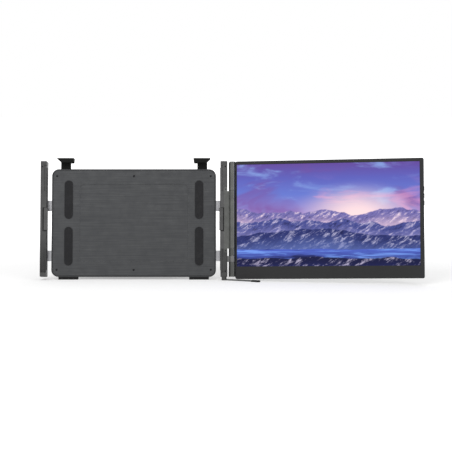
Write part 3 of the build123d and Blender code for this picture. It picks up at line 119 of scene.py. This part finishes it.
# ---------------------------------------------------------------------- shader nodes
SPREAD = (0.3, 0.7)         # where nearly all values of a noise lie
RAYS = 6                    # for each edge and hollow
EDGE_RADIUS = 0.35 * MM
EDGE_SPAN = (0.995, 0.90)   # cosine of flat to rounded normal, beside an edge and on it
# painted shade in narrow gaps and inside corners, where shade falls
GAP_WIDTH = 2.5 * MM        # how near a face darkens its neighbour
GAP_LEAST = 0.15            # share of the tone that is left deep inside
GAP_SPAN = (0.4, 0.97)      # open share, deep inside and on plain faces
MIX_A, MIX_B, MIX_RESULT = 6, 7, 2      # the Mix node's sockets for colours


class Shader:
    """One material's node tree, with a short call for each kind of node used here."""

    def __init__(self, name):
        self.material = bpy.data.materials.new(name)
        self.material.use_nodes = True
        self.nodes = self.material.node_tree.nodes
        self.links = self.material.node_tree.links
        self.surface = self.nodes["Principled BSDF"]
        self.place = self.nodes.new("ShaderNodeTexCoord").outputs["Object"]

    def put(self, socket, value):
        """Links a socket to another one, or sets it to a plain value."""
        if isinstance(value, bpy.types.NodeSocket):
            self.links.new(value, socket)
        else:
            socket.default_value = value

    def node(self, kind, inputs=(), **settings):
        made = self.nodes.new(kind)
        for name, value in settings.items():
            setattr(made, name, value)
        for name, value in dict(inputs).items():
            self.put(made.inputs[name], value)
        return made

    def math(self, operation, a, b=0.0):
        return self.node("ShaderNodeMath", {0: a, 1: b}, operation=operation).outputs[0]

    def between(self, value, low, high, to_low=0.0, to_high=1.0):
        """Value carried from low..high to another range, smoothly and clamped."""
        made = self.node(
            "ShaderNodeMapRange",
            {
                "Value": value, "From Min": low, "From Max": high,
                "To Min": to_low, "To Max": to_high,
            },
            interpolation_type="SMOOTHSTEP",
        )
        return made.outputs["Result"]

    def turned(self, turn, origin=(0, 0, 0), size=(1, 1, 1)):
        """Object coordinates in a turned frame, from an origin and in units of size."""
        made = self.node(
            "ShaderNodeMapping",
            {"Vector": self.place, "Location": origin, "Rotation": turn, "Scale": size},
            vector_type="TEXTURE",
        )
        return made.outputs["Vector"]

    def rotated(self, vector, turn):
        made = self.node("ShaderNodeMapping", {"Vector": vector, "Rotation": turn})
        return made.outputs["Vector"]

    def scaled(self, vector, size):
        made = self.node("ShaderNodeVectorMath", {0: vector, 1: size}, operation="MULTIPLY")
        return made.outputs["Vector"]

    def shifted(self, vector, step):
        made = self.node("ShaderNodeVectorMath", {0: vector, 1: step}, operation="ADD")
        return made.outputs["Vector"]

    def noise(self, scale, detail, roughness, vector=None, distortion=0.0):
        """Noise of 0 to 1, with scale in cells for each metre."""
        made = self.node(
            "ShaderNodeTexNoise",
            {
                "Vector": vector or self.place, "Scale": scale, "Detail": detail,
                "Roughness": roughness, "Distortion": distortion,
            },
        )
        return made.outputs["Fac"]

    def lines(self, stretch, detail, roughness):
        """Noise drawn out along one way of the bracket: cells along it, through it and up."""
        return self.noise(1.0, detail, roughness, self.scaled(self.turned(BRACKET_TURN), stretch))

    def waves(self, turn, scale, way):
        """Even bands across one way of a turned frame."""
        made = self.node(
            "ShaderNodeTexWave",
            {"Vector": self.turned(turn), "Scale": scale},
            bands_direction=way,
        )
        return made.outputs["Fac"]

    def mix(self, share, a, b):
        made = self.node("ShaderNodeMix", {"Factor": share}, data_type="RGBA")
        self.put(made.inputs[MIX_A], a)
        self.put(made.inputs[MIX_B], b)
        return made.outputs[MIX_RESULT]

    def tint(self, under, value, span, share, colour):
        """Colour laid over another where a value runs through a span, up to a share."""
        return self.mix(self.between(value, *span, 0.0, share), under, colour)

    def ramp(self, value, stops):
        """Colour by value; stops are (place, colour) pairs from low to high."""
        made = self.node("ShaderNodeValToRGB", {"Fac": value})
        marks = made.color_ramp.elements
        while len(marks) < len(stops):
            marks.new(0.5)
        for mark, (place, colour) in zip(marks, stops):
            mark.position = place
            mark.color = colour
        return made.outputs["Color"]

    def bump(self, height, depth, strength, under=None):
        inputs = {"Height": height, "Distance": depth, "Strength": strength}
        if under:
            inputs["Normal"] = under
        return self.node("ShaderNodeBump", inputs).outputs["Normal"]

    def edges(self):
        """Normal rounded at the edges, and 1 on the edges falling to 0 beside them."""
        soft = self.node("ShaderNodeBevel", {"Radius": EDGE_RADIUS}, samples=RAYS)
        flat = self.node("ShaderNodeNewGeometry")
        same = self.node(
            "ShaderNodeVectorMath",
            {0: soft.outputs["Normal"], 1: flat.outputs["Normal"]},
            operation="DOT_PRODUCT",
        )
        return soft.outputs["Normal"], self.between(same.outputs["Value"], *EDGE_SPAN)

    def painted_hollow_shade(self, tone, width=GAP_WIDTH, least=GAP_LEAST):
        """Painted shade: tone darkened in narrow gaps and inside corners, where shade falls."""
        space = self.node("ShaderNodeAmbientOcclusion", {"Distance": width}, samples=RAYS)
        return self.scaled(tone, self.between(space.outputs["AO"], *GAP_SPAN, least, 1.0))

    def set(self, **values):
        """Sets the surface's own sockets: base_color becomes Base Color, and so on."""
        names = {"ior_level": "Specular IOR Level"}
        for key, value in values.items():
            self.put(self.surface.inputs[names.get(key, key.replace("_", " ").title())], value)


# -------------------------------------------------------------------------- materials
# noise patterns: cells for each metre, detail, roughness
MOTTLE = (60.0, 5.0, 0.6)
HANDLING = (120.0, 5.0, 0.7)
RUBBING = (140.0, 5.0, 0.7)
FLOW = (22.0, 3.0, 0.5)
DUST = (90.0, 6.0, 0.7)
PORES = (1900.0, 2.0, 0.5)
STAIN = (70.0, 3.0, 0.5)
BOARD_GRAIN = (700.0, 2.0, 0.5)
CLOUDING = (160.0, 3.0, 0.5)
BLASTED = 2600.0            # cells for each metre of blasted metal
FINE_BLASTED = 3200.0
ERODED = 1500.0             # and of a spark-eroded mould

# marks on metal: stretch, detail and roughness; span and share that darken; bump's strength
STREAKED = ((6000.0, 6000.0, 60.0), 2.0, 0.5), (0.35, 0.7), 0.25, 0.4
BRUSHED = ((14.0, 700.0, 700.0), 4.0, 0.65), SPREAD, 0.75, 0.5
# stretch of the lines on steel
TURNED = (3000.0, 3000.0, 60.0)
ROLLED = (60.0, 2000.0, 2000.0)
# span and share of spots
GRIT_SPOTS = SPREAD, 0.16
SPARK_SPOTS = (0.35, 0.7), 0.22
DUST_SPOTS = (0.42, 0.72), 0.6
STAIN_SPOTS = (0.45, 0.8), 0.35

GRIT_DEPTH = 0.03 * MM
LINE_DEPTH = 0.02 * MM
MOULD_DEPTH = 0.04 * MM
RIB_DEPTH = 0.05 * MM
RIB_RISE = 3.0              # times the pores'
TRACK_DEPTH = 0.03 * MM

# span of a noise, and what it is carried to: share of the lighter tone, and of a rubbed edge
MOTTLE_RANGE = (0.3, 0.72, 0.45, 1.0)
METAL_WEAR = (0.36, 0.62, 0.25, 0.95)
PLASTIC_WEAR = (0.4, 0.64, 0.05, 0.7)
RUBBED_METAL = 1.9          # times its colour, on edges
RUBBED_PLASTIC = 1.5
# painted shade in the gaps and corners of plastic
PLASTIC_GAP_WIDTH = 1.2 * MM
PLASTIC_GAP_LEAST = 0.6

SILICONE_RIBS = 260.0       # scales of the waves and cells of single materials
CABLE_LINES = 900.0
BOARD_TRACKS = 120.0
GUIDE_DOTS = 700.0

# painted light and shade by height: times the colour below, along and above the hinge's barrel,
# and the blend to each side
LEFT_ARM_PAINTED_SHADING = (0.42, 0.94, 0.88, 45.0 * MM)
RIGHT_ARM_PAINTED_SHADING = (0.70, 1.18, 1.0, 1.0 * MM)
HINGE_PAINTED_SHADING = (0.84, 1.10, 1.12, 1.0 * MM)


def painted_shading_by_height(s, low, middle, high, blend):
    """Painted light and shade: tone by height, below, along and above the hinge's barrel."""
    height = s.node("ShaderNodeSeparateXYZ", {0: s.turned(BRACKET_TURN)}).outputs["Z"]
    start, end = reach("lower_hinge_leaf", UP)[1], reach("upper_hinge_leaf", UP)[0]
    below = s.between(height, start - blend, start + blend, low, middle)
    return s.math("ADD", below, s.between(height, end - blend, end + blend, 0.0, high - middle))


def satin_metal(name, colour, dark, rough=0.38, grain=BLASTED, marks=None, painted_shading=None):
    """Anodised metal: bead-blast grain, soft mottling, painted shade in gaps and corners, painted
    light and shade by height where asked, and wear on the edges.
    """
    s = Shader(name)
    tone = s.mix(s.between(s.noise(*MOTTLE), *MOTTLE_RANGE), dark, colour)
    if painted_shading:
        # painted light and shade by height
        tone = s.scaled(tone, painted_shading_by_height(s, *painted_shading))
    grit = s.noise(grain, 2.0, 0.6)
    # painted shade in gaps and inside corners
    tone = s.painted_hollow_shade(s.tint(tone, grit, *GRIT_SPOTS, dark))
    soft, edge = s.edges()
    normal = s.bump(grit, GRIT_DEPTH, 0.35, soft)
    if marks:
        pattern, span, share, strength = marks
        lines = s.lines(*pattern)
        tone = s.tint(tone, lines, span, share, dark)
        normal = s.bump(lines, LINE_DEPTH, strength, normal)
    wear = s.noise(*HANDLING)
    rubbed = s.math("MULTIPLY", edge, s.between(wear, *METAL_WEAR))
    s.set(
        base_color=s.mix(rubbed, tone, lifted(colour, RUBBED_METAL)),
        roughness=s.between(wear, 0.3, 0.75, rough - 0.05, rough + 0.09),
        metallic=0.85,
        normal=normal,
    )
    return s.material


def moulded(name, colour, dark, rough=0.5, grain=ERODED, depth=MOULD_DEPTH, gloss=0.4):
    """Moulded plastic with a fine spark-eroded texture, faint flow marks and painted shade in gaps
    and corners.
    """
    s = Shader(name)
    flow = s.noise(*FLOW, distortion=0.6)
    spark = s.noise(grain, 3.0, 0.65)
    tone = s.mix(s.between(flow, *SPREAD, 0.5, 1.0), dark, colour)
    tone = s.tint(tone, spark, *SPARK_SPOTS, dark)
    # painted shade in gaps and inside corners
    tone = s.painted_hollow_shade(tone, PLASTIC_GAP_WIDTH, PLASTIC_GAP_LEAST)
    soft, edge = s.edges()
    rubbed = s.math("MULTIPLY", edge, s.between(s.noise(*RUBBING), *PLASTIC_WEAR))
    s.set(
        base_color=s.mix(rubbed, tone, lifted(colour, RUBBED_PLASTIC)),
        roughness=s.between(spark, *SPREAD, rough - 0.06, rough + 0.08),
        ior_level=gloss,
        normal=s.bump(spark, depth, 0.5, soft),
    )
    return s.material


def soft_rubber(name, colour, dark, rough=0.78, ribs=0.0):
    """Silicone and rubber: matt, a little dusty, with fine ribs where asked."""
    s = Shader(name)
    dust = s.noise(*DUST)
    height = s.noise(*PORES)
    if ribs:
        wave = s.waves(BRACKET_TURN, ribs, "Z")
        height = s.math("ADD", s.math("MULTIPLY", wave, RIB_RISE), height)
    s.set(
        base_color=s.tint(dark, dust, *DUST_SPOTS, colour),
        roughness=s.between(dust, 0.3, 0.8, rough, rough + 0.12),
        ior_level=0.25,
        sheen_weight=0.15,
        sheen_roughness=0.5,
        normal=s.bump(height, RIB_DEPTH, 0.5),
    )
    return s.material


def ground_steel(name, colour, dark, rough=0.25, stretch=TURNED):
    """Turned, ground or rolled steel with fine lines along one way."""
    s = Shader(name)
    lines = s.lines(stretch, 3.0, 0.6)
    tone = s.mix(s.between(lines, *SPREAD), dark, colour)
    s.set(
        base_color=s.tint(tone, s.noise(*STAIN), *STAIN_SPOTS, dark),
        roughness=s.between(lines, *SPREAD, rough, rough + 0.12),
        metallic=1.0,
        normal=s.bump(lines, LINE_DEPTH, 0.5),
    )
    return s.material


def board_material():
    """Solder mask over copper tracks."""
    s = Shader("driver_board")
    tracks = s.node(
        "ShaderNodeTexBrick",
        {
            "Vector": s.rotated(s.turned(DISPLAY_TURN), (math.pi / 2, 0, 0)),
            "Scale": BOARD_TRACKS,
            "Mortar Size": 0.06, "Brick Width": 0.9, "Row Height": 0.22,
            "Color1": (0, 0, 0, 1), "Color2": (0.1, 0.1, 0.1, 1), "Mortar": (1, 1, 1, 1),
        },
    ).outputs["Color"]
    grain = s.between(s.noise(*BOARD_GRAIN), *SPREAD)
    mask = s.mix(grain, linear(12, 74, 46), linear(20, 96, 58))
    s.set(
        base_color=s.mix(s.math("MULTIPLY", tracks, 0.6), mask, linear(42, 130, 78)),
        roughness=0.32,
        ior_level=0.5,
        normal=s.bump(tracks, TRACK_DEPTH, 0.5),
    )
    return s.material


def light_guide():
    """Clear guide with its printed dots, over white foil."""
    s = Shader("light_guide")
    cells = s.node("ShaderNodeTexVoronoi", {"Vector": s.place, "Scale": GUIDE_DOTS})
    dots = cells.outputs["Distance"]
    s.set(
        base_color=s.mix(s.between(dots, 0.12, 0.3), grey(250), linear(222, 226, 232)),
        roughness=0.2,
        ior_level=0.5,
        normal=s.bump(dots, LINE_DEPTH, 0.3),
    )
    return s.material


def flex_material():
    """Amber film with copper lines inside."""
    s = Shader("flexible_cable")
    lines = s.waves(DISPLAY_TURN, CABLE_LINES, "X")
    cloud = s.between(s.noise(*CLOUDING), *SPREAD)
    film = s.mix(cloud, linear(150, 88, 20), linear(186, 116, 34))
    s.set(
        base_color=s.tint(film, lines, (0.4, 0.6), 0.55, linear(110, 60, 18)),
        roughness=0.3,
        ior_level=0.5,
        coat_weight=0.3,
        coat_roughness=0.15,
        normal=s.bump(lines, TRACK_DEPTH, 0.4),
    )
    return s.material


# ------------------------------------------------------------------- the lit picture
# A made-up evening view: clouds over hills and a lake. Its lengths are in picture heights.
PICTURE_HEIGHT = 174.0 * MM
PICTURE_GAMMA = 1.25            # darker darks, for the panel's contrast
PICTURE_COLOUR = 0.87           # share of the colour that is kept
PICTURE_LEVEL = 1.08
GLASS_EDGE = 0.6 * MM           # glass beyond the picture, left
GLASS_LOW_EDGE = 3.0 * MM       # glass beyond the picture, below

# height and colour
SKY = (
    (0.30, linear(220, 178, 214)),
    (0.52, linear(158, 142, 214)),
    (0.70, linear(92, 120, 214)),
    (0.86, linear(88, 92, 196)),
    (1.00, linear(108, 66, 170)),
)
# noise: stretch across and up, seed, detail, roughness, distortion; span, share and colour of the
# tint; and the heights where the clouds are gone and full
VEIL = (1.1, 3.4, 3.1, 5.0, 0.5, 0.6), (0.44, 0.66), 0.85, linear(138, 76, 168), None
WISPS = (1.5, 4.6, 11.4, 6.0, 0.55, 0.9), (0.50, 0.68), 0.8, linear(138, 176, 236), None
ROSE = (1.2, 5.2, 23.7, 6.0, 0.55, 1.0), (0.48, 0.64), 0.8, linear(226, 156, 208), (0.92, 0.55)

GLOW_AT = (1.18, 0.50)
GLOW_STRETCH = (0.75, 1.5)
GLOW_FADE = (0.52, 0.02)
GLOW_SHARE = 0.95
GLOW_COLOUR = linear(255, 226, 226)

# seed, height, rise and bends of the crest, colour, mist at the foot
FAR_HILLS = (
    (31.0, 0.53, 0.34, 1.7, linear(120, 112, 184), linear(234, 204, 222)),
    (37.0, 0.42, 0.40, 1.5, linear(66, 78, 160), linear(160, 154, 210)),
    (43.0, 0.31, 0.34, 1.3, linear(28, 50, 130), linear(92, 118, 190)),
)
NEAR_HILLS = (53.0, 0.055, 0.22, 1.1, linear(8, 20, 86), linear(20, 52, 150))
CREST = 0.006                   # half of its soft width
CREST_NOISE = (9.0, 0.52)
ROCK_STRETCH = (11.0, 34.0)
ROCK_SEED = 5.0                 # from the crest's
ROCK_NOISE = (9.0, 0.72, 0.35)
SLANT = (0.0, 0.55, 0.0)        # of the snow on the rock, radians
SNOW = linear(255, 240, 246)
SNOW_TINT = (0.50, 0.66), 0.95
SHADE_TINT = (0.48, 0.32), 0.75, linear(16, 20, 84)
MIST_TINT = (0.02, 0.20), 0.72  # by the depth below the crest

WATER = linear(10, 32, 118), linear(38, 92, 206)
WATER_SPAN = (0.0, 0.18)
RIPPLES = (2.2, 34.0, 61.0, 7.0, 0.6, 0.5)
LIGHT_TINT = (0.5, 0.66), 0.85, linear(104, 160, 244)
DEEP_TINT = (0.46, 0.34), 0.8, linear(6, 18, 84)
SHORE_LINE = (3.0, 0.0, 71.0, 5.0)
SHORE = 0.14                    # height of its lowest point
SHORE_RISE = 0.05
SHORE_EDGE = 0.004              # half of its soft width

SEED_STEP = (1.0, 1.7, 0.6)     # way to a noise's next patch
PIXEL_GRAIN = (5200.0, 1.0, 0.5)
PIXEL_DEPTH = 0.004 * MM


def picture_place(s):
    """Picture coordinates: X from 0 at the left, Z from 0 at the bottom, both in heights."""
    left = reach("lcd_glass", ACROSS)[0] + GLASS_EDGE
    low = reach("lcd_glass", UP)[0] + GLASS_LOW_EDGE
    front = reach("lcd_glass", BACK)[0]
    origin = ACROSS * left + UP * low + BACK * front
    return s.turned(DISPLAY_TURN, origin, (PICTURE_HEIGHT,) * 3)


def flat_noise(s, place, across, up, seed, detail, roughness=0.55, distortion=0.0):
    """Noise on the picture with its own stretch each way; seed picks another patch."""
    patch = tuple(seed * step for step in SEED_STEP)
    vector = s.shifted(s.scaled(place, (across, 0.0, up)), patch)
    return s.noise(1.0, detail, roughness, vector, distortion)


def sky(s, place, z):
    """Bands of colour under three layers of cloud, the rose one only low down."""
    tone = s.ramp(z, SKY)
    for pattern, span, share, colour, fade in (VEIL, WISPS, ROSE):
        cover = s.between(flat_noise(s, place, *pattern), *span, 0.0, share)
        if fade:
            cover = s.math("MULTIPLY", cover, s.between(z, *fade))
        tone = s.mix(cover, tone, colour)
    return tone


def glow(s, x, z, under):
    """Warm light spreading from low in the sky."""
    squares = [
        s.math("POWER", s.math("MULTIPLY", s.math("SUBTRACT", value, at), stretch), 2.0)
        for value, at, stretch in zip((x, z), GLOW_AT, GLOW_STRETCH)
    ]
    far = s.math("SQRT", s.math("ADD", *squares))
    return s.mix(s.between(far, *GLOW_FADE, 0.0, GLOW_SHARE), under, GLOW_COLOUR)


def hills(s, place, z, under, row):
    """One row of hills in front of what is under it, misty towards its foot."""
    seed, level, rise, bends, colour, mist = row
    line = s.math("SUBTRACT", flat_noise(s, place, bends, 0.0, seed, *CREST_NOISE), 0.5)
    top = s.math("ADD", s.math("MULTIPLY", line, rise), level)
    depth = s.math("SUBTRACT", top, z)
    slope = s.rotated(place, SLANT)
    rock = flat_noise(s, slope, *ROCK_STRETCH, seed + ROCK_SEED, *ROCK_NOISE)
    snow = tuple((a + b) / 2 for a, b in zip(mist, SNOW))
    lit = s.tint(s.tint(colour, rock, *SNOW_TINT, snow), rock, *SHADE_TINT)
    return s.tint(under, depth, (-CREST, CREST), 1.0, s.tint(lit, depth, *MIST_TINT, mist))


def lake(s, place, z, under):
    """Water along the bottom with long ripples and the sky's light on it."""
    ripple = flat_noise(s, place, *RIPPLES)
    water = s.mix(s.between(z, *WATER_SPAN), *WATER)
    water = s.tint(s.tint(water, ripple, *LIGHT_TINT), ripple, *DEEP_TINT)
    shore = s.math("MULTIPLY", flat_noise(s, place, *SHORE_LINE), SHORE_RISE)
    depth = s.math("SUBTRACT", s.math("ADD", shore, SHORE), z)
    return s.tint(under, depth, (-SHORE_EDGE, SHORE_EDGE), 1.0, water)


def screen_picture():
    s = Shader("screen_picture")
    place = picture_place(s)
    split = s.node("ShaderNodeSeparateXYZ", {0: place})
    x, z = split.outputs["X"], split.outputs["Z"]
    colour = glow(s, x, z, sky(s, place, z))
    for row in FAR_HILLS:
        colour = hills(s, place, z, colour, row)
    colour = hills(s, place, z, lake(s, place, z, colour), NEAR_HILLS)
    deep = s.node("ShaderNodeGamma", {"Color": colour, "Gamma": PICTURE_GAMMA})
    muted = s.node(
        "ShaderNodeHueSaturation",
        {"Color": deep.outputs["Color"], "Saturation": PICTURE_COLOUR},
    )
    s.set(
        base_color=linear(6, 6, 8),
        roughness=0.35,
        ior_level=0.1,
        emission_color=muted.outputs["Color"],
        emission_strength=PICTURE_LEVEL,
        normal=s.bump(s.noise(*PIXEL_GRAIN), PIXEL_DEPTH, 0.2),
    )
    return s.material


# ------------------------------------------------------------------------ finish list
def finishes():
    """Each material with the nodes that take it."""
    return (
        (satin_metal("left_arm_metal", grey(88), grey(72), marks=STREAKED, painted_shading=LEFT_ARM_PAINTED_SHADING),
         ("left_column",)),
        (satin_metal("right_arm_metal", grey(88), grey(72), marks=STREAKED, painted_shading=RIGHT_ARM_PAINTED_SHADING),
         ("right_column",)),
        (satin_metal("arm_metal_dark", grey(88), grey(74)),
         ("left_lip", "right_lip")),
        (moulded("arm_cap", grey(82), grey(68), 0.45, gloss=0.3),
         ("left_top_cap", "left_bottom_cap", "right_top_cap", "right_bottom_cap")),
        (satin_metal("hinge_metal", linear(98, 99, 97), linear(83, 84, 82), 0.32,
                     painted_shading=HINGE_PAINTED_SHADING),
         ("hinge_barrel", "lower_hinge_leaf", "upper_hinge_leaf")),
        (satin_metal("lug_metal", grey(118), grey(100), 0.32),
         ("hinge_lug",)),
        (satin_metal("plate_metal", linear(84, 85, 86), linear(66, 67, 69), 0.42, marks=BRUSHED),
         ("front_plate",)),
        (moulded("housing_plastic", linear(54, 55, 57), linear(44, 45, 47), 0.55),
         ("rear_housing",)),
        (soft_rubber("silicone", linear(52, 52, 54), linear(34, 34, 36), ribs=SILICONE_RIBS),
         ("lid_pads", "left_liner", "right_liner")),
        (soft_rubber("rubber", grey(44), linear(26, 26, 27), 0.82),
         ("housing_feet", "left_hook_pad", "right_hook_pad", "kickstand_foot", "foot_boot",
          "foot_pad")),
        (moulded("nylon", linear(206, 204, 196), linear(188, 186, 178), 0.4, 900.0),
         ("rail_guides",)),
        (satin_metal("screw_black", linear(44, 44, 46), linear(26, 26, 28), 0.34, FINE_BLASTED),
         ("housing_screws", "left_arm_screws", "right_arm_screws", "leaf_screws",
          "display_screws")),
        (ground_steel("steel", linear(188, 188, 190), linear(142, 142, 146)),
         ("left_rails", "right_rails", "kickstand_pins", "foot_pin", "lower_hinge_shaft",
          "upper_hinge_shaft", "friction_washers")),
        (moulded("hook_plastic", linear(23, 24, 22), linear(15, 16, 15), 0.62, gloss=0.12),
         ("left_hook", "right_hook")),
        (satin_metal("kickstand_metal", linear(100, 101, 102), linear(78, 79, 81), 0.4,
                     marks=BRUSHED),
         ("kickstand_plate",)),
        (satin_metal("foot_metal", grey(116), linear(92, 92, 93), 0.36),
         ("support_foot",)),
        (satin_metal("frame_metal", linear(59, 60, 62), linear(46, 47, 49), 0.42),
         ("display_frame",)),
        (moulded("bezel_plastic", linear(40, 40, 41), linear(33, 33, 34), 0.55, gloss=0.3),
         ("display_bezel",)),
        (screen_picture(),
         ("lcd_glass",)),
        (light_guide(),
         ("backlight",)),
        (ground_steel("tray_metal", linear(176, 178, 180), linear(140, 142, 146), 0.3, ROLLED),
         ("panel_tray",)),
        (moulded("cover_plastic", linear(58, 59, 61), linear(44, 45, 47), 0.52, 800.0, 0.09 * MM),
         ("rear_cover",)),
        (board_material(),
         ("driver_board", "button_board")),
        (ground_steel("port_metal", linear(186, 186, 188), linear(120, 120, 124), 0.22),
         ("usb_ports", "hdmi_port")),
        (moulded("speaker_plastic", linear(36, 36, 37), linear(22, 22, 23), 0.6),
         ("speakers",)),
        (flex_material(),
         ("panel_flex",)),
        (moulded("button_plastic", linear(46, 46, 47), linear(38, 38, 39), 0.35, 2200.0),
         ("power_button", "menu_button_lower", "menu_button_upper")),
    )


def dress():
    """Gives every CAD node its material, and stops if one has none."""
    bare = set(frame["nodes"])
    for material, names in finishes():
        for name in names:
            mesh = frame["nodes"][name].data
            mesh.materials.clear()
            mesh.materials.append(material)
            bare.discard(name)
    if bare:
        raise RuntimeError(f"no material for {sorted(bare)}")


# ------------------------------------------------------------------------ screw heads
HEAD_PROUD = 0.14 * MM      # above the CAD head's face
HEAD_SIDES = 32
HEAD_TOP = 0.9              # top's radius, as a share of the head's
HEAD_TWIST = 0.65           # from one screw to the next, radians
CROSS_REACH = 0.62          # half length of the recess's arms, as a share of the radius
CROSS_HALF = 0.15           # half their width
CROSS_TAPER = 0.85          # recess's floor, as a share of its mouth
RECESS = HEAD_PROUD * 0.9   # depth of the cross
FACE_BAND = 0.01 * MM       # places this near the top belong to the head's face
MICROMETRES = 1e6           # in a metre; places nearer than one are the same


def islands(mesh):
    """Vertex places of each separate solid in a mesh."""
    owner = {}

    def root(key):
        while owner[key] != key:
            key = owner[key]
        return key

    keys = [tuple(round(c * MICROMETRES) for c in vertex.co) for vertex in mesh.vertices]
    for key in keys:
        owner[key] = key
    for edge in mesh.edges:
        a, b = root(keys[edge.vertices[0]]), root(keys[edge.vertices[1]])
        owner[a] = b
    groups = {}
    for key, vertex in zip(keys, mesh.vertices):
        groups.setdefault(root(key), []).append(vertex.co.copy())
    return [groups[key] for key in sorted(groups)]


def head_of(places, way):
    """Middle, radius and outward direction of a screw's head; way is its axis."""
    ends = []
    for outward in (way, -way):
        top = max(place.dot(outward) for place in places)
        face = [place for place in places if place.dot(outward) > top - FACE_BAND]
        low = Vector([min(place[i] for place in face) for i in range(3)])
        high = Vector([max(place[i] for place in face) for i in range(3)])
        middle = (low + high) / 2
        ends.append((max((place - middle).length for place in face), middle, outward))
    radius, middle, outward = max(ends, key=lambda end: round(end[0] * MICROMETRES))
    return middle, radius, outward


def head_mesh(bm, middle, radius, outward, turn):
    """Low screw head with a cross recess, laid on the CAD head's face."""
    facing = outward.to_track_quat("Z", "Y").to_matrix() @ Matrix.Rotation(turn, 3, "Z")

    def ring(points, level):
        return [bm.verts.new(middle + facing @ Vector((x, y, level))) for x, y in points]

    def circle(size):
        steps = [2 * math.pi * i / HEAD_SIDES for i in range(HEAD_SIDES)]
        return [(size * math.cos(step), size * math.sin(step)) for step in steps]

    def wall(lower, upper, material=0):
        for i in range(len(lower)):
            j = (i + 1) % len(lower)
            bm.faces.new((lower[i], lower[j], upper[j], upper[i])).material_index = material

    half, end = CROSS_HALF * radius, CROSS_REACH * radius
    cross = []
    for cos, sin in ((1, 0), (0, 1), (-1, 0), (0, -1)):
        for x, y in ((end, -half), (end, half), (half, half)):
            cross.append((x * cos - y * sin, x * sin + y * cos))
    top = circle(radius * HEAD_TOP)
    foot = ring(circle(radius), 0.0)
    side = ring(circle(radius), HEAD_PROUD / 2)
    outer = ring(top, HEAD_PROUD)
    inner = ring(cross, HEAD_PROUD)
    pit = ring([(x * CROSS_TAPER, y * CROSS_TAPER) for x, y in cross], HEAD_PROUD - RECESS)
    bm.faces.new(foot)
    wall(foot, side)
    wall(side, outer)
    # material 1, the recess, takes the painted shade
    wall(inner, pit, 1)
    bm.faces.new(pit).material_index = 1
    flat = outer + inner
    loops = [[Vector(point).to_3d() for point in loop] for loop in (top, cross)]
    for triangle in tessellate_polygon(loops):
        bm.faces.new([flat[i] for i in triangle])


def body_of(node):
    bodies = frame["record"]["behaviour"]["bodies"]
    return next(name for name, members in bodies.items() if node in members)


def screw_heads(node, way, metal, pit):
    """One piece with a head for each screw of a node, riding with the node's body."""
    bm = bmesh.new()
    for count, places in enumerate(islands(frame["nodes"][node].data)):
        head_mesh(bm, *head_of(places, way), HEAD_TWIST * count)
    bmesh.ops.recalc_face_normals(bm, faces=bm.faces)
    mesh = bpy.data.meshes.new(node + "_heads")
    bm.to_mesh(mesh)
    bm.free()
    mesh.materials.append(metal)
    mesh.materials.append(pit)
    piece = bpy.data.objects.new(node + "_heads", mesh)
    bpy.context.scene.collection.objects.link(piece)
    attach(piece, body_of(node))


def all_screw_heads():
    metal = satin_metal("screw_head", linear(52, 52, 54), linear(34, 34, 36), 0.3, FINE_BLASTED)
    # painted shade: the cross recess is given a near-black material
    pit = moulded("screw_recess_painted_shade", grey(12), grey(6), 0.7, gloss=0.1)
    for node in ("housing_screws", "left_arm_screws", "right_arm_screws", "leaf_screws"):
        screw_heads(node, -BRACKET_BACK, metal, pit)
    screw_heads("display_screws", BACK, metal, pit)


# -------------------------------------------------------------------------- the studio
def seen_rays(s):
    """1 for rays from the camera, in reflections and through glass, and 0 for light."""
    path = s.node("ShaderNodeLightPath")
    glossy = s.math("MAXIMUM", path.outputs["Is Glossy Ray"], path.outputs["Is Transmission Ray"])
    return s.math("MAXIMUM", path.outputs["Is Camera Ray"], glossy)


def floor():
    half = FLOOR_SIZE / 2
    corners = [(-half, -half, 0), (half, -half, 0), (half, half, 0), (-half, half, 0)]
    mesh = bpy.data.meshes.new("floor")
    mesh.from_pydata(corners, [], [(0, 1, 2, 3)])
    piece = bpy.data.objects.new("floor", mesh)
    bpy.context.scene.collection.objects.link(piece)
    s = Shader("floor")
    away = s.node("ShaderNodeVectorMath", {0: s.place}, operation="LENGTH").outputs["Value"]
    fill = s.between(away, *FLOOR_FADE, FLOOR_FILL, 1.0)
    pale = (FLOOR_COLOUR,) * 3 + (1,)
    off_pale = (FLOOR_COLOUR * FLOOR_SHADE,) * 3 + (1,)
    s.set(
        base_color=s.mix(s.noise(*FLOOR_PATCHES), pale, off_pale),
        roughness=0.9,
        ior_level=0.0,
        emission_color=(1, 1, 1, 1),
        emission_strength=s.math("MULTIPLY", seen_rays(s), fill),
    )
    mesh.materials.append(s.material)


class WorldShader(Shader):
    """The world's node tree, with the same short calls."""

    def __init__(self, world):
        self.nodes = world.node_tree.nodes
        self.links = world.node_tree.links


def world():
    made = bpy.data.worlds.new("studio")
    bpy.context.scene.world = made
    made.use_nodes = True
    s = WorldShader(made)
    background = s.nodes["Background"]
    background.inputs["Color"].default_value = (1, 1, 1, 1)
    s.put(background.inputs["Strength"], s.math("MAXIMUM", seen_rays(s), AMBIENT))


def lamps():
    for name, place, watts, side in LAMPS:
        data = bpy.data.lights.new(name, "AREA")
        data.energy = watts
        data.size = side
        lamp = bpy.data.objects.new(name, data)
        lamp.location = place
        lamp.rotation_euler = (Vector(AIM) - Vector(place)).to_track_quat("-Z", "Y").to_euler()
        bpy.context.scene.collection.objects.link(lamp)


def camera():
    data = bpy.data.cameras.new("camera")
    data.sensor_width = SENSOR
    data.lens = FOCAL_PIXELS * SENSOR / IMAGE
    data.clip_start, data.clip_end = CLIP
    made = bpy.data.objects.new("camera", data)
    made.location = CAMERA_AT
    made.rotation_euler = (math.radians(90.0 + CAMERA_PITCH), 0.0, 0.0)
    bpy.context.scene.collection.objects.link(made)
    bpy.context.scene.camera = made


camera()
world()
lamps()
floor()
dress()
all_screw_heads()
bpy.context.scene.view_settings.view_transform = "Standard"
